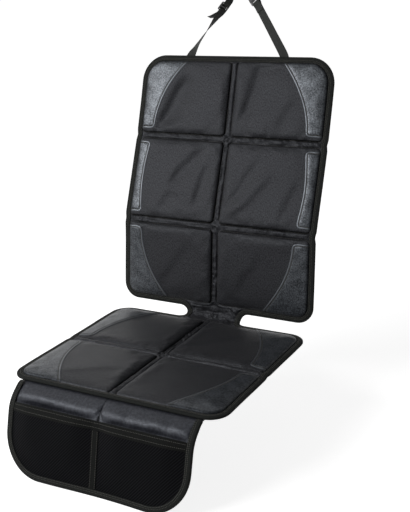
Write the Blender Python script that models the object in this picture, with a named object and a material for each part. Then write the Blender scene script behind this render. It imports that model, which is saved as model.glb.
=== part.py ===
"""A car seat protector mat, shown as it lies on a seat: a quilted backrest and seat panel in one
bent sheet, folded at a narrow neck, with a pocket flap hanging from its front edge and two webbing
straps that clip round the headrest.

The soft pieces are cut flat, in x across the mat and s along it, and then bent in side view.
Metres, +Z up, -Y to the front. The origin is on the underside of the seat, where its creases cross.
"""

import math

import bmesh
import bpy
from mathutils import Matrix, Vector
from mathutils.geometry import delaunay_2d_cdt

# The mat, along its length from the seat's front edge to the top of the backrest
MAT_WIDTH = 0.480
SEAT_FRONT_ROW = 0.204
SEAT_REAR_ROW = 0.230
BACK_LOW_ROW = 0.211
BACK_MID_ROW = 0.200
BACK_TOP_ROW = 0.189
BACK_LOW_LEAN = math.radians(6.0)
BACK_MID_LEAN = math.radians(21.2)
BACK_TOP_LEAN = math.radians(17.4)
CREASE_BEND = 0.014
FOLD_BEND = 0.028

# The outline of the mat
SEAT_CORNER_RADIUS = 0.040
BACK_LOW_CORNER_RADIUS = 0.036
BACK_TOP_CORNER_RADIUS = 0.058
NECK_HALF_WIDTH = 0.067
NOTCH_HALF_HEIGHT = 0.020
PINCH_DEPTH = 0.0022
PINCH_REACH = 0.012

# The quilting
CHANNEL_WIDTH = 0.020
EDGE_MARGIN = 0.015
PAD_INNER_RADIUS = 0.006
FOAM_THICKNESS = 0.0088
FOAM_EDGE_THICKNESS = 0.0030
PAD_SLOPE = 0.003
PAD_SHOULDER = 0.004
PAD_ROLL = 0.014
PAD_CROWN = 0.045

# The cloth layers and the clearance between pieces that touch
CLEARANCE = 0.0004
BACKING_THICKNESS = 0.0010
SEAT_RIM_LIFT = 0.0002
COVER_THICKNESS = 0.0012
PATCH_THICKNESS = 0.0008
TAPE_THICKNESS = 0.0010
BINDING_WIDTH = 0.0115

# The grey wear patches, measured in from the mat's side and from the row's crease
PATCH_NARROW = 0.049
PATCH_WIDE = 0.120
PATCH_STRIP = 0.045
PATCH_STRIP_WAIST = 0.0080
PATCH_CREASE_MARGIN = 0.0155
PATCH_CORNER_RADIUS = 0.009

# The flap and its pockets
FLAP_WIDTH = 0.412
FLAP_TUCK = 0.010
FLAP_BAND = 0.048
FLAP_POCKET = 0.140
FLAP_CORNER_RADIUS = 0.085
FLAP_BAND_DROP = math.radians(40.0)
FLAP_POCKET_DROP = math.radians(75.0)
FLAP_THICKNESS = 0.0018
FLAP_PUFF = 0.0075
NET_THICKNESS = 0.0008
NET_GAPE = 0.010
NET_SEAM = 0.0015
NET_EASE = 0.050
HEM_WIDTH = 0.015
HEM_TAPE_THICKNESS = 0.0007
DIVIDER_WIDTH = 0.014

# The straps, in the plane of the backrest's top row: from the centre line, above the top edge,
# off the mat's back face, and the webbing's turn about its own length in degrees
WEBBING_WIDTH = 0.020
WEBBING_THICKNESS = 0.0012
LAYER_OFFSET = 0.0015
LOOP_HEIGHT = 0.225
LOOP_CENTRE_X = -0.008
LOOP_RADIUS = 0.014
TAIL_LENGTH = 0.040
TAIL_SPREAD = 0.015
FOLD_BACK = 0.024
LEFT_STRAP = [
    (-0.1370, -0.030, -0.0017, 0),
    (-0.1270, -0.010, -0.0018, 0),
    (-0.1225, -0.001, -0.0028, 0),
    (-0.1185, 0.007, -0.0040, 2),
    (-0.1115, 0.018, -0.0030, 26),
    (-0.1010, 0.034, 0.0, 45),
    (-0.0850, 0.0586, 0.0, 59),
    (-0.0655, 0.0865, 0.0, 90),
]
SLIDER_AT = (-0.0460, 0.1140)
SLIDER_HEADING = math.radians(54.2)
SLIDER_TURN = 106
LEFT_LOOP = [
    (-0.0335, 0.1310, 0.0, 108),
    (-0.0235, 0.1560, 0.0, 104),
    (-0.0215, 0.1830, 0.0, 98),
]
RIGHT_LOOP = [(0.0050, 0.1880, 0.0, 118)]
RIGHT_STRAP = [
    (0.1290, -0.030, -0.0017, 0),
    (0.1215, -0.010, -0.0018, 0),
    (0.1178, -0.001, -0.0024, 0),
    (0.1140, 0.007, -0.0024, 0),
    (0.1060, 0.020, -0.0010, 5),
    (0.0879, 0.0469, 0.0, 10),
    (0.0698, 0.0736, 0.0, 14),
    (0.0477, 0.1056, 0.0, 18),
]
BUCKLE_AT = (0.0355, 0.1245)
BUCKLE_HEADING = math.radians(124.3)
BUCKLE_TURN = 20

# The ladder slider and the side release buckle
SLIDER_LENGTH = 0.0212
SLIDER_BAR = 0.0026
SLIDER_CENTRE_BAR = 0.0032
SLIDER_THICKNESS = 0.0024
BUCKLE_WIDTH = 0.030
BUCKLE_SIDE = 0.0042
BUCKLE_BAR = 0.0024
WEB_SLOT = 0.0050
SOCKET_LENGTH = 0.026
SOCKET_HEIGHT = 0.0095
SOCKET_BACK_WALL = 0.003
PRONG_THICKNESS = 0.0040
PRONG_BASE = 0.0026
PRONG_REACH = 0.0205
BUCKLE_FIT = 0.0004

HALF_WIDTH = MAT_WIDTH / 2
S_CREASE = SEAT_FRONT_ROW
S_FOLD = S_CREASE + SEAT_REAR_ROW
S_LOW = S_FOLD + BACK_LOW_ROW
S_MID = S_LOW + BACK_MID_ROW
S_TOP = S_MID + BACK_TOP_ROW
COVER_BASE = BACKING_THICKNESS + CLEARANCE
COVER_TOP = COVER_BASE + COVER_THICKNESS
NECK_STRIP = NOTCH_HALF_HEIGHT + EDGE_MARGIN
WEAVE = (SLIDER_THICKNESS + WEBBING_THICKNESS + LAYER_OFFSET) / 2 + 0.0003
LOOP_SPREAD = math.hypot(BUCKLE_BAR, PRONG_THICKNESS) / 2 + WEBBING_THICKNESS / 2 + 0.0003
PRONG_BAR_TAU = BUCKLE_BAR + 2 * WEB_SLOT + SOCKET_LENGTH + BUCKLE_FIT + PRONG_BASE


class Profile:
    """The side view of a bent sheet: straight runs and arcs, walked from a start point."""

    def __init__(self, y, z, heading, bends, outer):
        self.outer = outer
        self.runs = []
        s = 0.0
        for centre, turn, spread in bends:
            start = centre - spread / 2
            y, z = self._add(s, start - s, y, z, heading, 0.0)
            y, z = self._add(start, spread, y, z, heading, turn / spread)
            heading += turn
            s = start + spread
        self._add(s, 0.0, y, z, heading, 0.0)

    def _add(self, s, length, y, z, heading, curve):
        self.runs.append((s, y, z, heading, curve))
        return self._walk(length, y, z, heading, curve)

    @staticmethod
    def _walk(length, y, z, heading, curve):
        if abs(curve) < 1e-9:
            return y + length * math.cos(heading), z + length * math.sin(heading)
        end = heading + curve * length
        return (
            y + (math.sin(end) - math.sin(heading)) / curve,
            z - (math.cos(end) - math.cos(heading)) / curve,
        )

    def at(self, x, s, t):
        """The point x across, s along and t out from the sheet's back face."""
        run = self.runs[0]
        for other in self.runs[1:]:
            if s >= other[0]:
                run = other
        start, y, z, heading, curve = run
        y, z = self._walk(s - start, y, z, heading, curve)
        heading += curve * (s - start)
        side = t * self.outer
        return Vector((x, y - side * math.sin(heading), z + side * math.cos(heading)))


MAT = Profile(
    -SEAT_FRONT_ROW,
    0.0,
    0.0,
    [
        (S_FOLD, math.pi / 2 - BACK_LOW_LEAN, FOLD_BEND),
        (S_LOW, BACK_LOW_LEAN - BACK_MID_LEAN, CREASE_BEND),
        (S_MID, BACK_MID_LEAN - BACK_TOP_LEAN, CREASE_BEND),
    ],
    outer=1,
)
FLAP_TOP_FACE = TAPE_THICKNESS + 2 * CLEARANCE
FLAP_BENDS = [
    (FLAP_TUCK + 0.008, FLAP_BAND_DROP, 0.016),
    (FLAP_TUCK + FLAP_BAND, FLAP_POCKET_DROP - FLAP_BAND_DROP, 0.036),
]
FLAP = Profile(
    -SEAT_FRONT_ROW + FLAP_TUCK, -FLAP_TOP_FACE - FLAP_THICKNESS, math.pi, FLAP_BENDS, outer=-1
)


def arc(x, s, radius, start, end, steps):
    """Points of an arc, with angles in degrees."""
    angles = [math.radians(start + (end - start) * i / steps) for i in range(steps + 1)]
    return [(x + radius * math.cos(a), s + radius * math.sin(a)) for a in angles]


def mirrored(right_half):
    """A whole outline from its right half, which runs from the centre line back to it."""
    return right_half + [(-x, s) for x, s in reversed(right_half)]


def crease_pinch(centre):
    """The edge drawn in a little where a crease reaches it."""
    reach = [-PINCH_REACH, -CREASE_BEND / 2, 0.0, CREASE_BEND / 2, PINCH_REACH]
    return [(HALF_WIDTH - PINCH_DEPTH * (1 - abs(d) / PINCH_REACH), centre + d) for d in reach]


def fold_steps():
    """Places across the fold where the cloth turns."""
    return [FOLD_BEND * (i / 8 - 0.5) for i in range(9)]


def notch_x(offset):
    """The notch's round end, at an offset from the fold line."""
    radius = NOTCH_HALF_HEIGHT
    return NECK_HALF_WIDTH + radius - math.sqrt(radius * radius - offset * offset)


def mat_outline():
    w, r, low, top = HALF_WIDTH, SEAT_CORNER_RADIUS, BACK_LOW_CORNER_RADIUS, BACK_TOP_CORNER_RADIUS
    rear, bottom = S_FOLD - NOTCH_HALF_HEIGHT, S_FOLD + NOTCH_HALF_HEIGHT
    shoulder = 0.86 * NOTCH_HALF_HEIGHT
    notch = [-NOTCH_HALF_HEIGHT, -shoulder, *fold_steps(), shoulder, NOTCH_HALF_HEIGHT]
    right = arc(w - r, r, r, -90, 0, 6)
    right += crease_pinch(S_CREASE)
    right += arc(w - r, rear - r, r, 0, 90, 6)
    right += [(notch_x(d), S_FOLD + d) for d in notch]
    right += arc(w - low, bottom + low, low, -90, 0, 5)
    right += crease_pinch(S_LOW) + crease_pinch(S_MID)
    right += arc(w - top, S_TOP - top, top, 0, 90, 7)
    return mirrored(right)


def flap_steps():
    """Places along the flap where it turns."""
    return [
        centre + spread * (i / 4 - 0.5) for centre, _, spread in FLAP_BENDS for i in range(5)
    ]


def flap_outline():
    w, r = FLAP_WIDTH / 2, FLAP_CORNER_RADIUS
    end = FLAP_TUCK + FLAP_BAND + FLAP_POCKET
    right = [(w, 0.0), *[(w, step) for step in flap_steps()]]
    right += arc(w - r, end - r, r, 0, 90, 9)
    return mirrored(right)


def inside(loop, x, s):
    """Whether a point lies inside a closed outline."""
    within = False
    for (x0, s0), (x1, s1) in zip(loop, loop[1:] + loop[:1]):
        if (s0 > s) != (s1 > s) and x < x0 + (s - s0) / (s1 - s0) * (x1 - x0):
            within = not within
    return within


def inset(loop, distance):
    """The outline drawn in by a distance, corner by corner, for a loop that turns left."""
    out = []
    for before, (x, s), after in zip(loop[-1:] + loop[:-1], loop, loop[1:] + loop[:1]):
        a = Vector((x - before[0], s - before[1])).normalized()
        b = Vector((after[0] - x, after[1] - s)).normalized()
        normal = Vector((-a.y - b.y, a.x + b.x)).normalized()
        reach = distance / max(normal.dot(Vector((-a.y, a.x))), 0.4)
        out.append((x + normal.x * reach, s + normal.y * reach))
    return out


class Pad:
    """One foam pad's outline: a rectangle with its own radius at each corner."""

    def __init__(self, name, side, low, high, outer_low, outer_high):
        self.name, self.side, self.low, self.high = name, side, low, high
        self.near, self.far = CHANNEL_WIDTH / 2, HALF_WIDTH - EDGE_MARGIN
        self.radii = (outer_low, outer_high)

    def ring(self, distance):
        """The outline drawn in by a distance, as points."""
        x0, x1 = self.near + distance, self.far - distance
        s0, s1 = self.low + distance, self.high - distance
        points = []
        corners = [
            (x1, s0, -90, self.radii[0]),
            (x1, s1, 0, self.radii[1]),
            (x0, s1, 90, PAD_INNER_RADIUS),
            (x0, s0, 180, PAD_INNER_RADIUS),
        ]
        for x, s, start, radius in corners:
            r = radius - distance
            if r < 0.0015:
                points.append((x, s))
                continue
            steps = 2 if r < 0.012 else 4
            inward_x = -r if x == x1 else r
            inward_s = r if s == s0 else -r
            points += arc(x + inward_x, s + inward_s, r, start, start + 90, steps)
        return [(x * self.side, s) for x, s in points][:: self.side]

    def depth(self, x, s):
        """How far a point lies inside the outline; negative outside it."""
        x *= self.side
        middle_x, middle_s = (self.near + self.far) / 2, (self.low + self.high) / 2
        dx, ds = abs(x - middle_x), abs(s - middle_s)
        radius = PAD_INNER_RADIUS if x < middle_x else self.radii[s > middle_s]
        qx = dx - (self.far - self.near) / 2 + radius
        qs = ds - (self.high - self.low) / 2 + radius
        return radius - min(max(qx, qs), 0.0) - math.hypot(max(qx, 0.0), max(qs, 0.0))


def foam_rise(depth):
    """The foam's thickness at a depth inside its outline."""
    stations = [
        (0.0, FOAM_EDGE_THICKNESS),
        (PAD_SHOULDER, FOAM_EDGE_THICKNESS + 0.52 * (FOAM_THICKNESS - FOAM_EDGE_THICKNESS)),
        (PAD_ROLL, FOAM_EDGE_THICKNESS + 0.83 * (FOAM_THICKNESS - FOAM_EDGE_THICKNESS)),
        (PAD_CROWN, FOAM_THICKNESS),
    ]
    for (d0, h0), (d1, h1) in zip(stations, stations[1:]):
        if depth <= d1:
            return h0 + (h1 - h0) * max(depth - d0, 0.0) / (d1 - d0)
    return FOAM_THICKNESS


def cover_rise(x, s):
    """How far the front cover stands off the backing over the pads."""
    depth = max(pad.depth(x, s) for pad in PADS)
    if depth <= -PAD_SLOPE:
        return 0.0
    edge = FOAM_EDGE_THICKNESS + CLEARANCE
    if depth < 0.0:
        return edge * (1 + depth / PAD_SLOPE)
    return foam_rise(depth) + CLEARANCE


def make_pads():
    half = CHANNEL_WIDTH / 2
    seat, low = SEAT_CORNER_RADIUS - EDGE_MARGIN, BACK_LOW_CORNER_RADIUS - EDGE_MARGIN
    top, inner = BACK_TOP_CORNER_RADIUS - EDGE_MARGIN, PAD_INNER_RADIUS
    rows = [
        ("seat_front", EDGE_MARGIN, S_CREASE - half, seat, inner),
        ("seat_rear", S_CREASE + half, S_FOLD - NECK_STRIP, inner, seat),
        ("backrest_low", S_FOLD + NECK_STRIP, S_LOW - half, low, inner),
        ("backrest_middle", S_LOW + half, S_MID - half, inner, inner),
        ("backrest_top", S_MID + half, S_TOP - EDGE_MARGIN, inner, top),
    ]
    return [
        Pad(f"foam_pad_{name}_{word}", side, start, end, outer_low, outer_high)
        for name, start, end, outer_low, outer_high in rows
        for word, side in (("right", 1), ("left", -1))
    ]


PADS = make_pads()


def rounded(corner, before, after, radius, steps=3):
    """A corner of a patch drawn round, as a curve between its two sides."""
    c = Vector(corner)
    a = c + (Vector(before) - c).normalized() * radius
    b = c + (Vector(after) - c).normalized() * radius
    shares = [i / steps for i in range(steps + 1)]
    return [tuple(a * (1 - u) ** 2 + c * 2 * u * (1 - u) + b * u * u) for u in shares]


def corner_patch(crease, edge, edge_radius):
    """A patch that is narrow beside a crease and sweeps out along the mat's end edge."""
    up = 1 if edge > crease else -1
    outer = HALF_WIDTH - BINDING_WIDTH - CLEARANCE
    start = crease + up * PATCH_CREASE_MARGIN
    end = edge - up * (BINDING_WIDTH + CLEARANCE)
    radius = edge_radius - BINDING_WIDTH - CLEARANCE
    narrow = HALF_WIDTH - PATCH_NARROW
    sweep = []
    for i in range(1, 8):
        v = i / 7
        x = narrow - (PATCH_WIDE - PATCH_NARROW) * v * v
        sweep.append((x, start + (end - start) * v))
    low = rounded((narrow, start), (outer, start), sweep[0], PATCH_CORNER_RADIUS)
    turn = arc(outer - radius, end - up * radius, radius, 90 * up, 0, 5)
    return [(outer, start), *low, *sweep, *turn]


def strip_patch(low, high):
    """The upright strip patch beside the backrest's middle row."""
    outer = HALF_WIDTH - BINDING_WIDTH - CLEARANCE
    a, b = low + PATCH_CREASE_MARGIN, high - PATCH_CREASE_MARGIN
    inner = HALF_WIDTH - PATCH_STRIP
    middle = (inner + PATCH_STRIP_WAIST, (a + b) / 2)
    bottom = rounded((inner, a), (outer, a), middle, PATCH_CORNER_RADIUS)
    top = rounded((inner, b), middle, (outer, b), PATCH_CORNER_RADIUS)
    return [(outer, a), *bottom, middle, *top, (outer, b)]


def make_patches():
    shapes = [
        ("seat_front", corner_patch(S_CREASE, 0.0, SEAT_CORNER_RADIUS)),
        ("seat_rear", corner_patch(S_CREASE, S_FOLD - NOTCH_HALF_HEIGHT, SEAT_CORNER_RADIUS)),
        ("backrest_low", corner_patch(S_LOW, S_FOLD + NOTCH_HALF_HEIGHT, BACK_LOW_CORNER_RADIUS)),
        ("backrest_middle", strip_patch(S_LOW, S_MID)),
        ("backrest_top", corner_patch(S_MID, S_TOP, BACK_TOP_CORNER_RADIUS)),
    ]
    return [
        (f"patch_{name}_{word}", [(x * side, s) for x, s in loop])
        for name, loop in shapes
        for word, side in (("right", 1), ("left", -1))
    ]


def cut_cloth(outline, loops=(), lines=(), points=()):
    """Triangles of a flat cut that keep to the given inner loops, lines and points."""
    corners, edges = [], []
    for loop in [outline, *loops]:
        first = len(corners)
        corners += loop
        edges += [(first + i, first + (i + 1) % len(loop)) for i in range(len(loop))]
    for a, b in lines:
        edges.append((len(corners), len(corners) + 1))
        corners += [a, b]
    corners += points
    found = delaunay_2d_cdt([Vector(c) for c in corners], edges, [], 1, 1e-6)
    flat, faces = [tuple(v) for v in found[0]], found[2]
    return flat, [tuple(f) for f in faces]


def turned_left(flat, face):
    """The face with its points anticlockwise, seen from the front of the cloth."""
    (ax, ay), (bx, by), (cx, cy) = (flat[i] for i in face)
    return face if (bx - ax) * (cy - ay) > (cx - ax) * (by - ay) else face[::-1]


def layer(name, flat, faces, place, low, high, material, flat_back=False):
    """A closed sheet between two heights over a flat cut, bent into place."""
    faces = [turned_left(flat, f) for f in faces]
    used = sorted({i for f in faces for i in f})
    edges = {(f[i], f[(i + 1) % 3]) for f in faces for i in range(3)}
    rim = [(a, b) for a, b in edges if (b, a) not in edges]
    bm = bmesh.new()
    front = {i: bm.verts.new(place(*flat[i], high(*flat[i]))) for i in used}
    behind = {a for a, _ in rim} if flat_back else used
    back = {i: bm.verts.new(place(*flat[i], low(*flat[i]))) for i in behind}
    for f in faces:
        bm.faces.new([front[i] for i in f])
        if not flat_back:
            bm.faces.new([back[i] for i in reversed(f)])
    for a, b in rim:
        bm.faces.new([front[b], front[a], back[a], back[b]])
    if flat_back:
        after = dict(rim)
        start = rim[0][0]
        loop = [start]
        while after[loop[-1]] != start:
            loop.append(after[loop[-1]])
        bm.faces.new([back[i] for i in reversed(loop)])
    bmesh.ops.recalc_face_normals(bm, faces=bm.faces)
    return finish(name, bm, material)


def finish(name, bm, material, matrix=None):
    """The object made from a mesh under construction."""
    mesh = bpy.data.meshes.new(name)
    if matrix is not None:
        bmesh.ops.transform(bm, matrix=matrix, verts=bm.verts)
    bm.to_mesh(mesh)
    bm.free()
    mesh.shade_smooth()
    mesh.set_sharp_from_angle(angle=math.radians(35))
    if material:
        mesh.materials.append(material)
    made = bpy.data.objects.new(name, mesh)
    bpy.context.scene.collection.objects.link(made)
    return made


def binding(name, edge, closed, place, bottom, top, width, thickness, material):
    """A tape folded over an edge, with its section carried along the edge's own points.

    bottom and top give the stack's faces at a point of the edge.
    """
    bm = bmesh.new()
    rings = []
    steps = list(zip(edge[-1:] + edge[:-1], edge, edge[1:] + edge[:1]))
    for number, (before, (x, s), after) in enumerate(steps):
        if not closed and number == 0:
            before = (2 * x - after[0], 2 * s - after[1])
        if not closed and number == len(edge) - 1:
            after = (2 * x - before[0], 2 * s - before[1])
        a = Vector((x - before[0], s - before[1])).normalized()
        b = Vector((after[0] - x, after[1] - s)).normalized()
        outward = Vector((a.y + b.y, -a.x - b.x)).normalized()
        miter = 1 / max(outward.dot(Vector((a.y, -a.x))), 0.5)
        low, high = bottom(x, s) - CLEARANCE, top(x, s) + CLEARANCE
        gap, rim, nose = CLEARANCE, CLEARANCE + thickness, 0.4 * thickness
        section = [
            (-width, high + thickness),
            (-width / 2, high + thickness),
            (gap, high + thickness),
            (rim, high + thickness - nose),
            (rim, low - thickness + nose),
            (gap, low - thickness),
            (-width / 2, low - thickness),
            (-width, low - thickness),
            (-width, low),
            (-width / 2, low),
            (gap, low),
            (gap, high),
            (-width / 2, high),
            (-width, high),
        ]
        rings.append([
            bm.verts.new(place(x + outward.x * d * miter, s + outward.y * d * miter, t))
            for d, t in section
        ])
    pairs = list(zip(rings, rings[1:])) + ([(rings[-1], rings[0])] if closed else [])
    for first, second in pairs:
        for i in range(len(first)):
            j = (i + 1) % len(first)
            bm.faces.new([first[i], first[j], second[j], second[i]])
    if not closed:
        bm.faces.new(rings[0])
        bm.faces.new(rings[-1][::-1])
    bmesh.ops.recalc_face_normals(bm, faces=bm.faces)
    return finish(name, bm, material)


def ribbon(name, stations, width, thickness, material):
    """Webbing swept through stations of (centre, across, out)."""
    bm = bmesh.new()
    rings = []
    for centre, across, out in stations:
        a, o = across * width / 2, out * thickness / 2
        rings.append([bm.verts.new(centre + v) for v in (a + o, o - a, -a - o, a - o)])
    for first, second in zip(rings, rings[1:]):
        for i in range(4):
            j = (i + 1) % 4
            bm.faces.new([first[i], first[j], second[j], second[i]])
    bm.faces.new(rings[0])
    bm.faces.new(rings[-1][::-1])
    bmesh.ops.recalc_face_normals(bm, faces=bm.faces)
    return finish(name, bm, material)


def material(name, colour, roughness, metallic=0.0):
    made = bpy.data.materials.new(name)
    made.use_nodes = True
    shader = made.node_tree.nodes["Principled BSDF"]
    shader.inputs["Base Color"].default_value = (*colour, 1.0)
    shader.inputs["Roughness"].default_value = roughness
    shader.inputs["Metallic"].default_value = metallic
    made.diffuse_color = (*colour, 1.0)
    return made


def strap_plane(point):
    """A point given in the plane of the backrest's top row."""
    x, v, w = point
    return MAT.at(x, S_TOP + v, w)


PLANE = Matrix([
    strap_plane(axis) - strap_plane((0.0, 0.0, 0.0))
    for axis in ((1.0, 0.0, 0.0), (0.0, 1.0, 0.0), (0.0, 0.0, 1.0))
]).transposed()


def smooth(points, steps=40):
    """A curve through points of any number of values."""
    ends = [points[0], *points, points[-1]]
    out = []
    for a, b, c, d in zip(ends, ends[1:], ends[2:], ends[3:]):
        for i in range(steps):
            u = i / steps
            out.append(tuple(
                q + u * ((r - p) + u * ((2 * p - 5 * q + 4 * r - s) + u * (3 * (q - r) + s - p))) / 2
                for p, q, r, s in zip(a, b, c, d)
            ))
    return out + [tuple(points[-1])]


class Track:
    """A strap's centre line in the strap plane, with the turn of the webbing along it."""

    def __init__(self, points):
        self.points = smooth(points)
        self.lengths = [0.0]
        for a, b in zip(self.points, self.points[1:]):
            self.lengths.append(self.lengths[-1] + math.dist(a[:3], b[:3]))
        self.length = self.lengths[-1]

    def values(self, distance):
        """Place and turn at a distance along."""
        distance = min(max(distance, 0.0), self.length)
        i = 0
        while i < len(self.lengths) - 2 and self.lengths[i + 1] < distance:
            i += 1
        share = (distance - self.lengths[i]) / max(self.lengths[i + 1] - self.lengths[i], 1e-9)
        values = [p + (q - p) * share for p, q in zip(self.points[i], self.points[i + 1])]
        return Vector(values[:3]), math.radians(values[3])

    def nearest(self, point):
        """The distance along at which the line comes nearest to a point."""
        gaps = [math.dist(p[:3], point[:3]) for p in self.points]
        return self.lengths[gaps.index(min(gaps))]

    def frame(self, distance):
        """Centre, heading, across and out directions at a distance along."""
        centre, turn = self.values(distance)
        ahead = (self.values(distance + 5e-4)[0] - self.values(distance - 5e-4)[0]).normalized()
        level = Vector((ahead.y, -ahead.x, 0.0)).normalized()
        across = level * math.cos(turn) + Vector((0.0, 0.0, 1.0)) * math.sin(turn)
        across = (across - ahead * across.dot(ahead)).normalized()
        return centre, ahead, across, across.cross(ahead)


def straps_stations(track, distances, offset):
    """Ribbon stations along a track, set off along the webbing's out direction."""
    places = []
    for d in distances:
        centre, _, across, out = track.frame(d)
        places.append((centre + out * offset(d), across))
    stations = []
    for i, (place, across) in enumerate(places):
        after, before = places[min(i + 1, len(places) - 1)][0], places[max(i - 1, 0)][0]
        out = across.cross(after - before).normalized()
        stations.append((place, across, out))
    return stations


def shifted(stations, offset):
    return [(c + out * offset(i), across, out) for i, (c, across, out) in enumerate(stations)]


def loop_spread(gap):
    """Half the distance between the two layers, at a gap short of the bar they loop round."""
    reach = 0.013
    share = min(max(gap / reach, 0.0), 1.0)
    return LAYER_OFFSET / 2 + (LOOP_SPREAD - LAYER_OFFSET / 2) * (1 - share * share * (3 - 2 * share))


def turn_round(centre, ahead, across, out):
    """Stations of webbing turning round a bar, from its near face over to its far one."""
    stations = []
    for i in range(1, 8):
        a = math.pi * i / 8
        normal = out * math.cos(a) - ahead * math.sin(a)
        stations.append((centre - normal * LOOP_SPREAD, across, normal))
    return stations


def weave(distance):
    """How far the webbing swings off its line as it threads the slider."""
    near, far, fade = SLIDER_CENTRE_BAR / 2, SLIDER_LENGTH / 2 - SLIDER_BAR, 0.018
    d, end = abs(distance), SLIDER_LENGTH / 2 + 0.001
    if d <= near:
        return WEAVE
    if d < far:
        return WEAVE * math.cos(math.pi * (d - near) / (far - near))
    if d < end:
        return -WEAVE
    share = min((d - end) / fade, 1.0)
    return -WEAVE * (1 - share * share * (3 - 2 * share))


def spaced(start, end, step):
    count = max(1, math.ceil(abs(end - start) / step))
    return [start + (end - start) * i / count for i in range(count + 1)]


def in_world(stations):
    return [(strap_plane(c), PLANE @ a, PLANE @ o) for c, a, o in stations]


def add_straps(webbing):
    """The two webbing straps: the left one adjustable and doubled, the right one fixed."""
    heading = Vector((math.cos(BUCKLE_HEADING), math.sin(BUCKLE_HEADING), 0.0))
    socket_bar = Vector((*BUCKLE_AT, 0.0))
    prong_bar = socket_bar + heading * PRONG_BAR_TAU

    right = Track([*RIGHT_STRAP, (*socket_bar, BUCKLE_TURN)])
    up = [d for d in spaced(0.0, right.length - 0.014, 0.006)]
    up += spaced(right.length - 0.014, right.length, 0.002)[1:]
    out = straps_stations(right, up, lambda d: 0.0)
    main = shifted(out, lambda i: -loop_spread(right.length - up[i]))
    down = [d for d in up if d > right.length - FOLD_BACK]
    back = [s for s, d in zip(out, up) if d > right.length - FOLD_BACK]
    back = [
        (c + o * loop_spread(right.length - d), a, -o)
        for (c, a, o), d in zip(reversed(back), reversed(down))
    ]
    turned = turn_round(*right.frame(right.length))
    ribbon(
        "strap_right", in_world(main + turned + back), WEBBING_WIDTH, WEBBING_THICKNESS, webbing
    )

    top = LOOP_HEIGHT - LOOP_RADIUS
    arch = [
        (LOOP_CENTRE_X - LOOP_RADIUS * math.cos(a), top + LOOP_RADIUS * math.sin(a), 0.0, 96 + 4 * a)
        for a in (math.pi * i / 6 for i in range(7))
    ]
    approach = prong_bar + heading * 0.012
    final = 180 - BUCKLE_TURN
    slider_line = Vector((math.cos(SLIDER_HEADING), math.sin(SLIDER_HEADING), 0.0))
    slider = Vector((*SLIDER_AT, 0.0))
    threaded = [(*(slider + slider_line * d), SLIDER_TURN) for d in (-0.013, 0.0, 0.013)]
    left = Track([
        *LEFT_STRAP, *threaded, *LEFT_LOOP, *arch, *RIGHT_LOOP,
        (*approach, final - 8), (*prong_bar, final),
    ])
    middle = left.nearest(slider)
    near, far, end = middle - SLIDER_LENGTH / 2 - 0.002, middle + SLIDER_LENGTH / 2 + 0.002, left.length
    up = spaced(0.0, near, 0.006) + spaced(near, far, 0.0008)[1:]
    up += spaced(far, end - 0.014, 0.004)[1:] + spaced(end - 0.014, end, 0.002)[1:]
    line = straps_stations(left, up, lambda d: weave(d - middle))
    main = shifted(line, lambda i: -loop_spread(end - up[i]))
    tail_end = middle - TAIL_LENGTH
    back = []
    for (c, a, o), d in zip(reversed(line), reversed(up)):
        if d < tail_end:
            break
        lift = min(max((near - d) / (near - tail_end), 0.0), 1.0)
        back.append((c + o * (loop_spread(end - d) + TAIL_SPREAD * lift ** 1.6), a, -o))
    turned = turn_round(*left.frame(end))
    ribbon(
        "strap_left", in_world(main + turned + back), WEBBING_WIDTH, WEBBING_THICKNESS, webbing
    )
    return left.frame(middle), (socket_bar, heading)


def rounded_box(half_width, low, high, radius, steps=3):
    """A rectangle with round corners, turning left."""
    right = arc(half_width - radius, low + radius, radius, -90, 0, steps)
    return mirrored(right + arc(half_width - radius, high - radius, radius, 0, 90, steps))


def plate(name, outline, holes, lines, half_height, chamfer, place, plastic):
    """A hard plate between mirrored faces, with holes through it and its rims broken."""
    rims = [inset(outline, chamfer), *[inset(hole, -chamfer) for hole in holes]]
    flat, faces = cut_cloth(outline, [*holes, *rims], lines)
    kept = []
    for f in faces:
        x, s = (sum(flat[i][k] for i in f) / 3 for k in (0, 1))
        if inside(outline, x, s) and not any(inside(hole, x, s) for hole in holes):
            kept.append(f)
    borders = [outline, *holes]

    def rise(x, s):
        on_rim = any(
            math.dist((x, s), foot(x, s, a, b)) < 0.3 * chamfer
            for loop in borders for a, b in zip(loop, loop[1:] + loop[:1])
        )
        return half_height(x, s) - (chamfer if on_rim else 0.0)

    return layer(name, flat, kept, place, lambda x, s: -rise(x, s), rise, plastic)


def foot(x, s, a, b):
    """The point of a segment nearest to a place."""
    line = (b[0] - a[0], b[1] - a[1])
    share = ((x - a[0]) * line[0] + (s - a[1]) * line[1]) / max(line[0] ** 2 + line[1] ** 2, 1e-12)
    share = min(max(share, 0.0), 1.0)
    return (a[0] + line[0] * share, a[1] + line[1] * share)


def placer(centre, ahead, across, out):
    """Places hardware points, given across, ahead and out, in the world."""
    def place(x, s, t):
        return strap_plane(centre + across * x + ahead * s + out * t)
    return place


def cutter(name, size, centre, place):
    """A hidden block that cuts a hard part."""
    bm = bmesh.new()
    bmesh.ops.create_cube(bm, size=1.0)
    for v in bm.verts:
        v.co = place(*[c + k * s for c, k, s in zip(centre, v.co, size)])
    bmesh.ops.recalc_face_normals(bm, faces=bm.faces)
    made = finish(name, bm, None)
    made.hide_render = True
    return made


def cut_away(body, blocks):
    for block in blocks:
        change = body.modifiers.new(block.name, "BOOLEAN")
        change.operation, change.solver, change.object = "DIFFERENCE", "EXACT", block


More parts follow.
